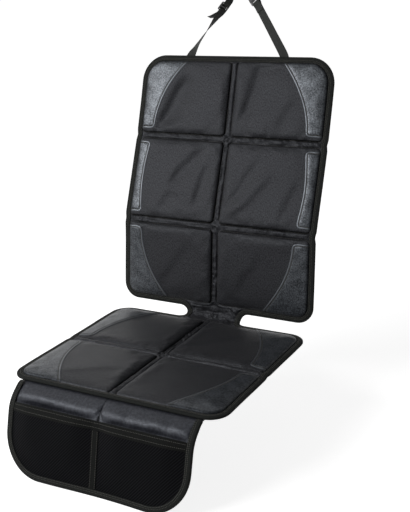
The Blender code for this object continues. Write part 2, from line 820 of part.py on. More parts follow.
def add_hardware(slider_frame, buckle, plastic):
    """The ladder slider on the left strap and the side release buckle that joins the two."""
    half = SLIDER_LENGTH / 2
    web = WEBBING_WIDTH / 2 + 0.0006
    slots = []
    for low in (-half + SLIDER_BAR, SLIDER_CENTRE_BAR / 2):
        high = low + half - SLIDER_BAR - SLIDER_CENTRE_BAR / 2
        slots.append(rounded_box(web, low, high, 0.0010, 2))
    plate(
        "strap_slider", rounded_box(web + 0.0030, -half, half, 0.0030), slots, [],
        lambda x, s: SLIDER_THICKNESS / 2, 0.0004, placer(*slider_frame), plastic,
    )

    origin, heading = buckle
    turn = math.radians(BUCKLE_TURN)
    level = Vector((heading.y, -heading.x, 0.0))
    across = level * math.cos(turn) + Vector((0.0, 0.0, 1.0)) * math.sin(turn)
    place = placer(origin, heading, across, across.cross(heading))
    wide = BUCKLE_WIDTH / 2
    body = BUCKLE_BAR / 2 + WEB_SLOT
    mouth = body + SOCKET_LENGTH
    rail, frame_half = PRONG_THICKNESS / 2, SOCKET_HEIGHT / 2

    def socket_rise(x, s):
        grow = min(max((s - body - 0.0006) / 0.0035, 0.0), 1.0)
        bulge = math.sqrt(max(1 - (x / (wide * 1.35)) ** 2, 0.0))
        return rail + (frame_half * bulge - rail) * grow

    steps = [body + 0.0006, body + 0.0041, mouth - 0.008]
    lines = [((-wide, s), (wide, s)) for s in steps]
    lines += [((x, steps[1]), (x, mouth - 0.001)) for x in (-wide * 0.55, 0.0, wide * 0.55)]
    socket = plate(
        "buckle_socket", rounded_box(wide, -BUCKLE_BAR / 2, mouth, 0.0030),
        [rounded_box(web, BUCKLE_BAR / 2, body, 0.0010, 2)], lines, socket_rise, 0.0005, place, plastic,
    )
    room = PRONG_THICKNESS + 2 * BUCKLE_FIT
    inner = wide - 0.0034
    cavity_start = body + SOCKET_BACK_WALL
    window = (cavity_start + 0.0020, cavity_start + 0.0125)
    middle = (window[0] + window[1]) / 2
    cut_away(socket, [
        cutter(
            "socket_cavity", (2 * inner, mouth - cavity_start + 0.01, room),
            (0.0, (cavity_start + mouth + 0.01) / 2, 0.0), place,
        ),
        cutter("socket_windows", (2 * wide + 0.01, window[1] - window[0], room), (0.0, middle, 0.0), place),
    ])

    base = mouth + BUCKLE_FIT
    slot_start = base + PRONG_BASE
    end = slot_start + WEB_SLOT + BUCKLE_BAR
    tip = cavity_start + 0.0008
    shoulder = window[1] - BUCKLE_FIT
    barb = wide - 0.0006
    arm_out, arm_in = inner - BUCKLE_FIT - 0.0006, inner - 0.0044
    right = arc(0.0, base - 0.0150, 0.0018, -90, 0, 3)
    right += [(0.0024, base - 0.0040), (0.0036, base)]
    right += [(arm_in - 0.0010, base), (arm_in, base - 0.0030), (arm_in - 0.0006, shoulder - 0.0010)]
    right += [(arm_in - 0.0014, tip + 0.0020), (arm_in, tip), (arm_in + 0.0030, tip + 0.0006)]
    right += [(barb - 0.0010, shoulder - 0.0050), (barb, shoulder - 0.0014), (barb - 0.0006, shoulder)]
    right += [(arm_out, shoulder + 0.0006), (arm_out, base - 0.0010), (arm_out + 0.0010, base)]
    right += [(wide - 0.0010, base), (wide, base + 0.0010)]
    right += arc(wide - 0.0030, end - 0.0030, 0.0030, 0, 90, 3)
    plate(
        "buckle_prongs", mirrored(right),
        [rounded_box(web, slot_start, slot_start + WEB_SLOT, 0.0010, 2)], [],
        lambda x, s: rail, 0.0004, place, plastic,
    )


def constant(value):
    return lambda x, s: value


def add_mat(cloth, backing, foam, tape, leather):
    """The quilted sheet: backing, foam pads, front cover, patches and the tape round its edge."""
    outline = mat_outline()
    bends = [
        ((-notch_x(d), S_FOLD + d), (notch_x(d), S_FOLD + d)) for d in fold_steps()
    ]
    for crease in (S_LOW, S_MID):
        right = crease_pinch(crease)[1:4]
        bends += [((-x, s), (x, s)) for x, s in right]
    # the seat bears on a flat face of its own, clear of the tape round the corners
    clear = SEAT_CORNER_RADIUS - (SEAT_CORNER_RADIUS - BINDING_WIDTH - 2 * CLEARANCE) / math.sqrt(2)
    side, rear = HALF_WIDTH - clear, S_FOLD - NOTCH_HALF_HEIGHT - clear
    bearing = [(-side, clear), (side, clear), (side, rear), (-side, rear)]

    def underside(x, s):
        """The backing's back face, which the tape draws up round the seat's rim."""
        bears = abs(x) < side + 1e-6 and clear - 1e-6 < s < rear + 1e-6
        return 0.0 if bears or s > S_FOLD - NOTCH_HALF_HEIGHT + 1e-6 else SEAT_RIM_LIFT

    flat, faces = cut_cloth(outline, [bearing], bends)
    layer("anti_slip_backing", flat, faces, MAT.at, underside, constant(BACKING_THICKNESS), backing)

    outlines = {pad.name: pad.ring(0.0) for pad in PADS}
    rings = [pad.ring(d) for pad in PADS for d in (-PAD_SLOPE, PAD_SHOULDER, PAD_ROLL, PAD_CROWN)]
    patches = make_patches()
    loops = [*rings, *outlines.values(), *[loop for _, loop in patches]]
    flat, faces = cut_cloth(outline, loops, bends)
    middles = [[sum(flat[i][k] for i in f) / 3 for k in (0, 1)] for f in faces]

    for name, loop in outlines.items():
        inner = [f for f, m in zip(faces, middles) if inside(loop, *m)]
        layer(
            name, flat, inner, MAT.at, constant(COVER_BASE),
            lambda x, s: COVER_BASE + cover_rise(x, s) - CLEARANCE, foam, flat_back=True,
        )
    layer(
        "front_cover", flat, faces, MAT.at,
        lambda x, s: COVER_BASE + cover_rise(x, s), lambda x, s: COVER_TOP + cover_rise(x, s), cloth,
    )
    for name, loop in patches:
        inner = [f for f, m in zip(faces, middles) if inside(loop, *m)]
        layer(
            name, flat, inner, MAT.at,
            lambda x, s: COVER_TOP + cover_rise(x, s) + CLEARANCE,
            lambda x, s: COVER_TOP + cover_rise(x, s) + CLEARANCE + PATCH_THICKNESS, leather,
        )
    binding(
        "edge_binding", outline, True, MAT.at, constant(0.0), constant(COVER_TOP),
        BINDING_WIDTH, TAPE_THICKNESS, tape,
    )


def bump(value, low, high):
    """A smooth rise and fall between two limits, 1 in the middle and 0 outside them."""
    share = (value - low) / (high - low)
    return math.sin(math.pi * share) if 0 < share < 1 else 0.0


HEM_TOP = FLAP_TUCK + FLAP_BAND
FLAP_END = HEM_TOP + FLAP_POCKET
NET_BASE = FLAP_THICKNESS + 2 * CLEARANCE + HEM_TAPE_THICKNESS
NET_SIDE = FLAP_WIDTH / 2 - BINDING_WIDTH


def flap_puff(x, r):
    """The stuffed roll above the pockets, in two halves."""
    across = bump(abs(x), 0.006, NET_SIDE - CLEARANCE)
    along = bump(r, FLAP_TUCK + 0.006, HEM_TOP - 0.008)
    return FLAP_PUFF * math.sqrt(across) * along


def flap_depth(x, r):
    """How far a point of the flap lies inside its outline, below the band."""
    dx, dr, radius = FLAP_WIDTH / 2 - abs(x), FLAP_END - r, FLAP_CORNER_RADIUS
    if dx < radius and dr < radius:
        return radius - math.hypot(radius - dx, radius - dr)
    return min(dx, dr)


def ease(share):
    """A smooth start from 0, and 1 from the full share on."""
    return math.sin(math.pi / 2 * min(max(share, 0.0), 1.0))


def net_height(x, r):
    """How far the pocket net stands off the flap: flat at its seams, open at the mouth."""
    share = min(max((r - HEM_TOP) / (FLAP_END - BINDING_WIDTH - HEM_TOP), 0.0), 1.0)
    from_edge = ease((flap_depth(x, r) - BINDING_WIDTH - NET_SEAM) / NET_EASE)
    from_centre = ease((abs(x) - DIVIDER_WIDTH / 2 - NET_SEAM) / NET_EASE)
    return NET_BASE + NET_GAPE * from_edge * from_centre * (1 - share * share)


def add_flap(satin, net, tape):
    """The pocket flap: its panel, the net, the net's hem and centre tape, and the edge tape."""
    outline = flap_outline()
    across = [NET_SIDE * i / 6 for i in range(-5, 6)]
    rows = [FLAP_TUCK + FLAP_BAND * share for share in (0.12, 0.25, 0.4, 0.55, 0.7, 0.83, 1.0)]
    points = [(x, r) for x in [*across, 0.006, -0.006] for r in rows if x]
    points += [(side * (NET_SIDE - CLEARANCE), r) for side in (1, -1) for r in rows[:-1]]
    side = FLAP_WIDTH / 2
    bends = [((-side, r), (side, r)) for r in flap_steps()]
    flat, faces = cut_cloth(outline, lines=bends, points=points)
    layer(
        "flap_panel", flat, faces, FLAP.at, constant(0.0),
        lambda x, r: FLAP_THICKNESS + flap_puff(x, r), satin,
    )

    edge = [p for p in inset(outline, BINDING_WIDTH * 0.35) if p[1] > HEM_TOP + 0.004]
    top = HEM_TOP + CLEARANCE
    brim = max(x for x, _ in edge)
    seam = FLAP_WIDTH / 2 - BINDING_WIDTH - NET_SEAM
    stations = [seam * i / 12 for i in range(1, 13)]
    centre = DIVIDER_WIDTH / 2 + NET_SEAM
    stations = [x for x in stations if x > centre + 0.006]
    mouth = [-brim, *[-x for x in reversed(stations)], -centre, centre, *stations, brim]
    pocket = edge + [(x, top) for x in mouth]
    turns = [r for r in flap_steps() if r > top + 0.002]
    inner = [(x, r) for x in mouth[2:-2] for r in turns]
    for depth in (NET_SEAM + 0.016, NET_SEAM + 0.036):
        inner += [p for p in inset(outline, BINDING_WIDTH + depth) if p[1] > top + 0.024]
    ring = [p for p in inset(outline, BINDING_WIDTH + NET_SEAM) if p[1] > top + 0.002]
    ring = [(seam, top), *ring, (-seam, top)]
    lines = [((-brim, r), (brim, r)) for r in turns] + list(zip(ring, ring[1:]))
    for r in (top + 0.045, top + 0.072, top + 0.1):
        inner += [
            (x, r) for x in [*mouth[1:-1:2], centre, -centre]
            if flap_depth(x, r) > BINDING_WIDTH + NET_SEAM + 0.045
        ]
    flat, faces = cut_cloth(pocket, lines=lines, points=inner)
    layer(
        "pocket_net", flat, faces, FLAP.at,
        net_height, lambda x, r: net_height(x, r) + NET_THICKNESS, net,
    )

    hem_side = NET_SIDE - CLEARANCE
    hem = [(max(-hem_side, min(hem_side, -x)), top) for x in mouth]
    hem = [p for i, p in enumerate(hem) if i == 0 or p != hem[i - 1]]
    binding(
        "pocket_hem_tape", hem[::-1], False, FLAP.at, net_height,
        lambda x, r: net_height(x, r) + NET_THICKNESS, HEM_WIDTH, HEM_TAPE_THICKNESS, tape,
    )

    half = DIVIDER_WIDTH / 2
    start, end = top + HEM_WIDTH + CLEARANCE, FLAP_END - BINDING_WIDTH - CLEARANCE
    stations = [start + (end - start) * i / 8 for i in range(9)]
    strip = [(half, r) for r in stations] + [(-half, r) for r in reversed(stations)]
    flat, faces = cut_cloth(strip)
    layer(
        "pocket_divider_tape", flat, faces, FLAP.at,
        lambda x, r: net_height(x, r) + NET_THICKNESS + CLEARANCE,
        lambda x, r: net_height(x, r) + NET_THICKNESS + CLEARANCE + HEM_TAPE_THICKNESS, tape,
    )

    start = FLAP_TUCK + 0.005
    sides = [p for p in outline if p[1] > start + 0.001]
    tops = [(FLAP_WIDTH / 2, start), (-FLAP_WIDTH / 2, start)]
    binding(
        "flap_binding", [tops[0], *sides, tops[1]], False, FLAP.at,
        constant(0.0), constant(NET_BASE + NET_THICKNESS), BINDING_WIDTH, TAPE_THICKNESS, tape,
    )


def main():
    for old in list(bpy.data.objects):
        bpy.data.objects.remove(old)
    cloth = material("black_oxford_cloth", (0.035, 0.036, 0.040), 0.7)
    backing = material("anti_slip_cloth", (0.03, 0.03, 0.032), 0.85)
    foam = material("grey_foam", (0.25, 0.25, 0.26), 0.9)
    tape = material("black_edge_tape", (0.016, 0.017, 0.016), 0.8)
    leather = material("grey_grained_leather", (0.13, 0.14, 0.155), 0.45)
    satin = material("black_satin_cloth", (0.035, 0.036, 0.043), 0.5)
    net = material("black_pocket_net", (0.012, 0.013, 0.015), 0.8)
    add_mat(cloth, backing, foam, tape, leather)
    add_flap(satin, net, tape)
    webbing = material("black_webbing", (0.022, 0.024, 0.022), 0.75)
    plastic = material("black_buckle_plastic", (0.02, 0.02, 0.021), 0.4)
    slider_frame, buckle = add_straps(webbing)
    add_hardware(slider_frame, buckle, plastic)


main()
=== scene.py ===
"""Dresses the frame of a car seat protector mat: the quilted cover with its patches and edge tape,
the pocket flap, the webbing straps and their hardware, and a plain studio round them.

The soft pieces are cut flat, in x across the mat and s along it, raised by height functions and
then bent into the frame's side view. Metres, +Z up, -Y to the mat's front edge.
"""

import math

import bpy
import numpy as np
from bpy.props import FloatProperty, FloatVectorProperty, PointerProperty
from mathutils import Matrix, Vector
from mathutils.geometry import delaunay_2d_cdt


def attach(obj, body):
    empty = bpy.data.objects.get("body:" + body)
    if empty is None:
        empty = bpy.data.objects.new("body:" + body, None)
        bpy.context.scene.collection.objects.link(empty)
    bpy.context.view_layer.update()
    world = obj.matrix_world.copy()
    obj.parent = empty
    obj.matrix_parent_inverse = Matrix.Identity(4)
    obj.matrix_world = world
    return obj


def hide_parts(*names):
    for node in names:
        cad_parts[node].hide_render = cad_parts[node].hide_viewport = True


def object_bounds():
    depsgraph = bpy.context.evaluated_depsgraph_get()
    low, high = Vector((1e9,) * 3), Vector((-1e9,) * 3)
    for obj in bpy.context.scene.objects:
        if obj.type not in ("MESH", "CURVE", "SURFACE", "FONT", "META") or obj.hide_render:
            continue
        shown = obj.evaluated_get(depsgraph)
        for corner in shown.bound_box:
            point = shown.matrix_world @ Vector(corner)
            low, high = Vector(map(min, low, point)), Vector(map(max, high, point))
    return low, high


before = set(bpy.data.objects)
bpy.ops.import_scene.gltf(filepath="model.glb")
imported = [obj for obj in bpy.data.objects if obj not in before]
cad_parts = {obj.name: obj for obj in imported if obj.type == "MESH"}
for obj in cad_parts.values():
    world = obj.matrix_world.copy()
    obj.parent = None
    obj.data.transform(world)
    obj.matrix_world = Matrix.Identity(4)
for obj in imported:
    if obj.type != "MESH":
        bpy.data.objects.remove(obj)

bl_info = {
    "name": "Car Seat Protector Mat",
    "version": (1, 0, 0),
    "blender": (4, 5, 0),
    "location": "View3D > Sidebar > Seat Mat",
    "description": "Sews the mat's cover, patches, edge tape, pocket flap and straps",
    "category": "Object",
}


CAD_BOX = [list(corner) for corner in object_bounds()]

# The mat's cut, as in the part's source
HALF_WIDTH = 0.240
S_CREASE, S_FOLD, S_LOW, S_MID, S_TOP = 0.204, 0.434, 0.645, 0.845, 1.034
LEANS = [math.radians(a) for a in (6.0, 21.2, 17.4)]
CREASE_BEND, FOLD_BEND = 0.014, 0.028
SEAT_RADIUS, LOW_RADIUS, TOP_RADIUS = 0.040, 0.036, 0.058
NECK_HALF_WIDTH, NOTCH = 0.067, 0.020
PINCH_DEPTH, PINCH_REACH = 0.0022, 0.012
CHANNEL, EDGE_MARGIN, NECK_STRIP = 0.020, 0.015, 0.035
HALF_CHANNEL = CHANNEL / 2
PAD_INNER_RADIUS, PAD_SLOPE = 0.006, 0.003
FOAM_THICKNESS = 0.0088
CLEARANCE, TAPE, BINDING = 0.0004, 0.0010, 0.0115
TAPE_WAVE, STITCH_SHARE, SEAM_SHADE = 0.0004, 0.72, 0.0115
# The edge tape's two rows of stitches: distance from the edge, and height in tape thicknesses
STITCH_LINES = ((0.0096, 1.1), (0.0062, 1.22))
# The cover's mesh by depth inside a pad: step, from, to
COVER_GRID = ((0.0023, -1.0, 0.0010), (0.0036, 0.0024, 0.0150), (0.0065, 0.0185, 1.0))
BACKING, COVER_BASE, COVER_TOP = 0.0010, 0.0014, 0.0026
PATCH = 0.0008
PATCH_NARROW, PATCH_WIDE, PATCH_STRIP, PATCH_WAIST = 0.049, 0.120, 0.045, 0.0080
PATCH_MARGIN, PATCH_RADIUS, PATCH_STITCH = 0.0155, 0.013, 0.0045

# The flap's cut
FLAP_WIDTH, FLAP_TUCK, FLAP_POCKET, FLAP_RADIUS = 0.412, 0.010, 0.140, 0.085
FLAP_DROPS = [math.radians(a) for a in (40.0, 35.0)]
FLAP_THICKNESS, BAND_PUFF = 0.0018, 0.0078
HEM_TOP, FLAP_END = 0.058, 0.198
NET, NET_BASE, NET_GAPE, NET_SEAM, NET_EASE = 0.0008, 0.0033, 0.010, 0.0015, 0.050
HEM_WIDTH, HEM_TAPE, DIVIDER = 0.015, 0.0007, 0.014
NET_SIDE = FLAP_WIDTH / 2 - BINDING

# The straps, in the plane of the backrest's top row
WEBBING, WEBBING_THICKNESS, LAYER_OFFSET = 0.020, 0.0012, 0.0015
LOOP_HEIGHT, LOOP_X, LOOP_RADIUS = 0.225, -0.008, 0.014
TAIL_LENGTH, TAIL_SPREAD, FOLD_BACK = 0.040, 0.015, 0.024
SLIDER_AT, SLIDER_HEADING, SLIDER_TURN = (-0.0460, 0.1140), math.radians(54.2), 106
BUCKLE_AT, BUCKLE_HEADING, BUCKLE_TURN = (0.0355, 0.1245), math.radians(124.3), 20
SLIDER_LENGTH, SLIDER_BAR, SLIDER_CENTRE_BAR = 0.0212, 0.0026, 0.0032
BUCKLE_BAR = 0.0024
WEAVE = (0.0024 + WEBBING_THICKNESS + LAYER_OFFSET) / 2 + 0.0003
LOOP_SPREAD = math.hypot(BUCKLE_BAR, 0.0040) / 2 + WEBBING_THICKNESS / 2 + 0.0003
PRONG_BAR_REACH = BUCKLE_BAR + 2 * 0.0050 + 0.026 + 0.0004 + 0.0026
LEFT_STRAP = [
    (-0.1370, -0.030, -0.0017, 0), (-0.1270, -0.010, -0.0018, 0), (-0.1225, -0.001, -0.0028, 0),
    (-0.1185, 0.007, -0.0040, 2), (-0.1115, 0.018, -0.0030, 26), (-0.1010, 0.034, 0.0, 45),
    (-0.0850, 0.0586, 0.0, 59), (-0.0655, 0.0865, 0.0, 90),
]
LEFT_LOOP = [(-0.0335, 0.1310, 0.0, 108), (-0.0235, 0.1560, 0.0, 104), (-0.0215, 0.1830, 0.0, 98)]
RIGHT_LOOP = [(0.0050, 0.1880, 0.0, 118)]
RIGHT_STRAP = [
    (0.1290, -0.030, -0.0017, 0), (0.1215, -0.010, -0.0018, 0), (0.1178, -0.001, -0.0024, 0),
    (0.1140, 0.007, -0.0024, 0), (0.1060, 0.020, -0.0010, 5), (0.0879, 0.0469, 0.0, 10),
    (0.0698, 0.0736, 0.0, 14), (0.0477, 0.1056, 0.0, 18),
]


def smooth_step(share):
    return share * share * (3 - 2 * share)


def noise(u, v, seed):
    """Smooth noise from -1 to 1, one bump to a unit."""
    table = np.random.default_rng(seed).uniform(-1, 1, (97, 97))
    u, v = np.broadcast_arrays(np.asarray(u, float), np.asarray(v, float))
    i, j = np.floor(u).astype(int), np.floor(v).astype(int)
    a, b = smooth_step(u - i), smooth_step(v - j)
    i, j, k, m = i % 97, j % 97, (i + 1) % 97, (j + 1) % 97
    low = table[i, j] * (1 - a) + table[k, j] * a
    return low * (1 - b) + (table[i, m] * (1 - a) + table[k, m] * a) * b


def ramp(value, start, end):
    """A smooth step from 0 at start to 1 at end."""
    return smooth_step(np.clip((value - start) / (end - start), 0.0, 1.0))


def hump(value, centre, width):
    """A smooth bump of height 1."""
    return np.exp(-(((value - centre) / width) ** 2))


class Profile:
    """A bent sheet's side view: straight runs and arcs, walked from its first edge."""

    def __init__(self, y, z, heading, bends, outer):
        self.outer, rows, s = outer, [], 0.0
        for centre, turn, spread in bends:
            run, curve = centre - spread / 2 - s, turn / spread
            rows.append((s, y, z, heading, 0.0))
            y, z, s = y + run * math.cos(heading), z + run * math.sin(heading), s + run
            rows.append((s, y, z, heading, curve))
            y += (math.sin(heading + turn) - math.sin(heading)) / curve
            z -= (math.cos(heading + turn) - math.cos(heading)) / curve
            heading, s = heading + turn, s + spread
        rows.append((s, y, z, heading, 0.0))
        self.rows = np.array(rows)

    def at(self, x, s, t):
        """Points x across, s along and t out from the sheet's back face."""
        x, s, t = np.broadcast_arrays(*[np.asarray(v, float) for v in (x, s, t)])
        which = np.clip(np.searchsorted(self.rows[:, 0], s, side="right") - 1, 0, None)
        start, y, z, heading, curve = np.moveaxis(self.rows[which], -1, 0)
        end, k = heading + curve * (s - start), np.where(curve == 0, 1.0, curve)
        y = y + np.where(curve == 0, (s - start) * np.cos(heading), (np.sin(end) - np.sin(heading)) / k)
        z = z + np.where(curve == 0, (s - start) * np.sin(heading), (np.cos(heading) - np.cos(end)) / k)
        out = t * self.outer
        return np.stack([x, y - out * np.sin(end), z + out * np.cos(end)], axis=-1)


MAT = Profile(-S_CREASE, 0.0, 0.0, [
    (S_FOLD, math.pi / 2 - LEANS[0], FOLD_BEND),
    (S_LOW, LEANS[0] - LEANS[1], CREASE_BEND),
    (S_MID, LEANS[1] - LEANS[2], CREASE_BEND),
], 1)
FLAP = Profile(-S_CREASE + FLAP_TUCK, -TAPE - 2 * CLEARANCE - FLAP_THICKNESS, math.pi, [
    (FLAP_TUCK + 0.008, FLAP_DROPS[0], 0.016), (HEM_TOP, FLAP_DROPS[1], 0.036),
], -1)


def arc(x, s, radius, start, end, steps):
    a = np.radians(np.linspace(start, end, steps + 1))
    return [(x + radius * math.cos(v), s + radius * math.sin(v)) for v in a]


def resampled(loop, step, closed=True):
    """The same line with points at an even spacing."""
    line = np.array(loop + loop[:1] if closed else loop, float)
    along = np.concatenate([[0], np.cumsum(np.hypot(*np.diff(line, axis=0).T))])
    count = max(3, round(along[-1] / step))
    places = np.linspace(0, along[-1], count + 1)[: count if closed else count + 1]
    return np.stack([np.interp(places, along, line[:, k]) for k in (0, 1)], axis=1)


def normals(line, closed=True):
    """Each point's direction to the right of the line's run, and its direction along."""
    if closed:
        ahead = np.roll(line, -1, 0) - np.roll(line, 1, 0)
    else:
        ahead = np.gradient(line, axis=0)
    ahead /= np.linalg.norm(ahead, axis=1)[:, None]
    return np.stack([ahead[:, 1], -ahead[:, 0]], axis=1), ahead


def gap_to(points, loop, closed=True):
    """How near each point comes to a line."""
    a = np.asarray(loop, float)
    b = np.roll(a, -1, 0) if closed else a[1:]
    a = a if closed else a[:-1]
    ab = b - a
    found = []
    for part in np.array_split(np.asarray(points, float), max(1, len(points) // 4000)):
        rel = part[:, None] - a
        share = np.clip((rel * ab).sum(2) / np.maximum((ab * ab).sum(1), 1e-12), 0, 1)
        found.append(np.linalg.norm(rel - share[..., None] * ab, axis=2).min(1))
    return np.concatenate(found)


def within(points, loop):
    """Which points lie inside a closed line."""
    x, s = np.asarray(points, float).T
    a = np.asarray(loop, float)
    inside = np.zeros(len(x), bool)
    for (x0, s0), (x1, s1) in zip(a, np.roll(a, -1, 0)):
        if s0 != s1:
            inside ^= ((s0 > s) != (s1 > s)) & (x < x0 + (s - s0) / (s1 - s0) * (x1 - x0))
    return inside


def scatter(x0, x1, s0, s1, step):
    """Points in staggered rows."""
    rows = np.arange(s0, s1, step * 0.866)
    columns = np.arange(x0, x1, step)
    x = columns[None] + np.where(np.arange(len(rows)) % 2, step / 2, 0.0)[:, None]
    return np.stack([x.ravel(), np.repeat(rows, len(columns))], axis=1)


def kept_inside(points, loop, clear):
    """The points inside a closed line and clear of it."""
    points = points[within(points, loop)]
    return points[gap_to(points, loop) > clear]


def box_of(line):
    """The lowest and highest x, then the lowest and highest s, of a line's points."""
    return line[:, 0].min(), line[:, 0].max(), line[:, 1].min(), line[:, 1].max()


def walked(line):
    """The distance walked along a line at each of its points."""
    steps = np.linalg.norm(np.diff(line, axis=0), axis=1)
    return np.concatenate([[0], np.cumsum(steps)])


def mat_outline():
    """The mat's flat outline: rounded corners, pinched creases and the notched neck."""
    w, r, low, top = HALF_WIDTH, SEAT_RADIUS, LOW_RADIUS, TOP_RADIUS
    rear, bottom = S_FOLD - NOTCH, S_FOLD + NOTCH
    offsets = [NOTCH * v for v in (-1, -0.95, -0.86)] + list(np.linspace(-0.014, 0.014, 9))
    offsets += [NOTCH * v for v in (0.86, 0.95, 1)]

    def pinch(centre):
        reach = np.linspace(-PINCH_REACH, PINCH_REACH, 9)
        return [(w - PINCH_DEPTH * (1 - abs(d) / PINCH_REACH), centre + d) for d in reach]

    right = arc(w - r, r, r, -90, 0, 12) + pinch(S_CREASE) + arc(w - r, rear - r, r, 0, 90, 12)
    right += [
        (NECK_HALF_WIDTH + NOTCH - math.sqrt(NOTCH * NOTCH - d * d), S_FOLD + d) for d in offsets
    ]
    right += arc(w - low, bottom + low, low, -90, 0, 12) + pinch(S_LOW) + pinch(S_MID)
    right += arc(w - top, S_TOP - top, top, 0, 90, 14)
    return right + [(-x, s) for x, s in reversed(right)]


OUTLINE = mat_outline()


class Pad:
    """One foam pad's outline: a rectangle with its own radius at each corner."""

    def __init__(self, name, side, low, high, outer_low, outer_high):
        self.name, self.side, self.low, self.high = name, side, low, high
        self.near, self.far = HALF_CHANNEL, HALF_WIDTH - EDGE_MARGIN
        self.radii = (outer_low, outer_high)

    def ring(self, inward, step):
        """The outline drawn in by a distance."""
        x0, x1 = self.near + inward, self.far - inward
        s0, s1 = self.low + inward, self.high - inward
        corners = [
            (x1, s0, -90, self.radii[0]), (x1, s1, 0, self.radii[1]),
            (x0, s1, 90, PAD_INNER_RADIUS), (x0, s0, 180, PAD_INNER_RADIUS),
        ]
        points = []
        for x, s, start, radius in corners:
            r = max(radius - inward, 0.0015)
            points += arc(
                x - r if x == x1 else x + r, s + r if s == s0 else s - r, r, start, start + 90, 6
            )
        return resampled([(x * self.side, s) for x, s in points][:: self.side], step)

    def depth(self, x, s):
        """How far points lie inside the outline; negative outside it."""
        x = x * self.side
        middle_x, middle_s = (self.near + self.far) / 2, (self.low + self.high) / 2
        outer_radius = np.where(s > middle_s, self.radii[1], self.radii[0])
        radius = np.where(x < middle_x, PAD_INNER_RADIUS, outer_radius)
        qx = abs(x - middle_x) - (self.far - self.near) / 2 + radius
        qs = abs(s - middle_s) - (self.high - self.low) / 2 + radius
        return radius - np.minimum(np.maximum(qx, qs), 0) - np.hypot(np.maximum(qx, 0), np.maximum(qs, 0))


ROWS = [
    ("seat_front", EDGE_MARGIN, S_CREASE - HALF_CHANNEL, SEAT_RADIUS - EDGE_MARGIN, PAD_INNER_RADIUS),
    ("seat_rear", S_CREASE + HALF_CHANNEL, S_FOLD - NECK_STRIP, PAD_INNER_RADIUS, SEAT_RADIUS - EDGE_MARGIN),
    ("backrest_low", S_FOLD + NECK_STRIP, S_LOW - HALF_CHANNEL, LOW_RADIUS - EDGE_MARGIN, PAD_INNER_RADIUS),
    ("backrest_middle", S_LOW + HALF_CHANNEL, S_MID - HALF_CHANNEL, PAD_INNER_RADIUS, PAD_INNER_RADIUS),
    ("backrest_top", S_MID + HALF_CHANNEL, S_TOP - EDGE_MARGIN, PAD_INNER_RADIUS, TOP_RADIUS - EDGE_MARGIN),
]
PADS = [
    Pad(f"foam_pad_{name}_{word}", side, *sizes)
    for name, *sizes in ROWS for word, side in (("right", 1), ("left", -1))
]
CREASES = [S_CREASE, S_LOW, S_MID]
CROSSINGS = [*CREASES, S_FOLD]

# Folds that drag across the pads, upward to the right: from, to, half width and height, in x and s
FOLDS = [
    (-0.180, 0.866, -0.112, 0.990, 0.020, -0.0088),
    (-0.130, 0.735, -0.050, 0.824, 0.015, -0.0050),
    (-0.062, 0.690, -0.034, 0.790, 0.013, -0.0045),
    (-0.150, 0.672, -0.115, 0.715, 0.013, -0.0030),
    (0.035, 0.672, 0.120, 0.770, 0.015, 0.0038),
    (0.030, 0.700, 0.090, 0.800, 0.013, -0.0034),
    (0.150, 0.670, 0.190, 0.760, 0.012, -0.0020),
    (0.036, 0.895, 0.080, 1.060, 0.021, -0.0058),
    (0.120, 0.865, 0.165, 0.940, 0.016, -0.0022),
    (-0.140, 0.500, -0.060, 0.600, 0.018, -0.0020),
    (0.060, 0.500, 0.120, 0.590, 0.018, -0.0020),
    (-0.150, 0.040, -0.040, 0.110, 0.020, 0.0014),
    (0.030, 0.250, 0.120, 0.330, 0.018, -0.0014),
]


def edge_wave(x, s):
    """The slow wave in the mat's free edges."""
    near = ramp(abs(x), 0.13, HALF_WIDTH) * ramp(abs(s - S_FOLD), 0.05, 0.11)
    return 0.0012 * near * noise(s / 0.085 + 40 * (x > 0), x / 0.3 + 9, 5)


def on_mat(x, s, t):
    return MAT.at(x, s, t + edge_wave(x, s))


def pad_depth(x, s):
    """How far points lie inside the nearest pad; negative in the channels."""
    return np.max([pad.depth(x, s) for pad in PADS], axis=0)


def puff(depth, outer=0.0):
    """A pad's height at a depth inside its outline: a steep wall at the seam, then a slow crown.

    The crown is shorter beside a channel than by the mat's outer edge, where outer is 1.
    """
    inward = np.maximum(depth + PAD_SLOPE, 0)
    wall, share = 1 - np.exp(-inward / 0.0013), 0.45 - 0.13 * outer
    crown = 1 - np.exp(-inward / (0.0085 + 0.0145 * outer))
    return (FOAM_THICKNESS + CLEARANCE) * (share * wall + (1 - share) * crown)


def drag_folds(x, s, depth):
    """Soft folds where the cloth is pulled across a pad."""
    height = np.zeros(np.shape(x))
    for x0, s0, x1, s1, width, rise in FOLDS:
        run = math.hypot(x1 - x0, s1 - s0)
        ux, us = (x1 - x0) / run, (s1 - s0) / run
        along = ((x - x0) * ux + (s - s0) * us) / run
        off = (x - x0) * -us + (s - s0) * ux + 0.004 * noise(along * 3, x0 * 99, 15)
        wide = np.where((off > 0) == (rise < 0), 0.6, 2.0) * width * (0.5 + 0.5 * ramp(along, -0.1, 0.5))
        height += rise * hump(off, 0, wide) * ramp(along, -0.15, 0.2) * (1 - ramp(along, 0.75, 1.15))
    return height * ramp(depth, 0.0, 0.012)


def seam_pulls(x, s, depth):
    """Short puckers that run in from the pads' seams."""
    across = np.min([abs(s - line) for line in CREASES], axis=0)
    pulls = hump(np.maximum(across - HALF_CHANNEL, 0), 0, 0.016) * noise(x / 0.011, s / 0.25, 11)
    pulls += hump(np.maximum(abs(x) - HALF_CHANNEL, 0), 0, 0.014) * noise(s / 0.012, np.sign(x) * 5, 12)
    side = HALF_WIDTH - abs(x)
    pulls += hump(np.maximum(side - 0.018, 0), 0, 0.011) * noise(s / 0.012, np.sign(x) * 9, 13)
    return 0.0005 * pulls * ramp(depth, -0.002, 0.006)


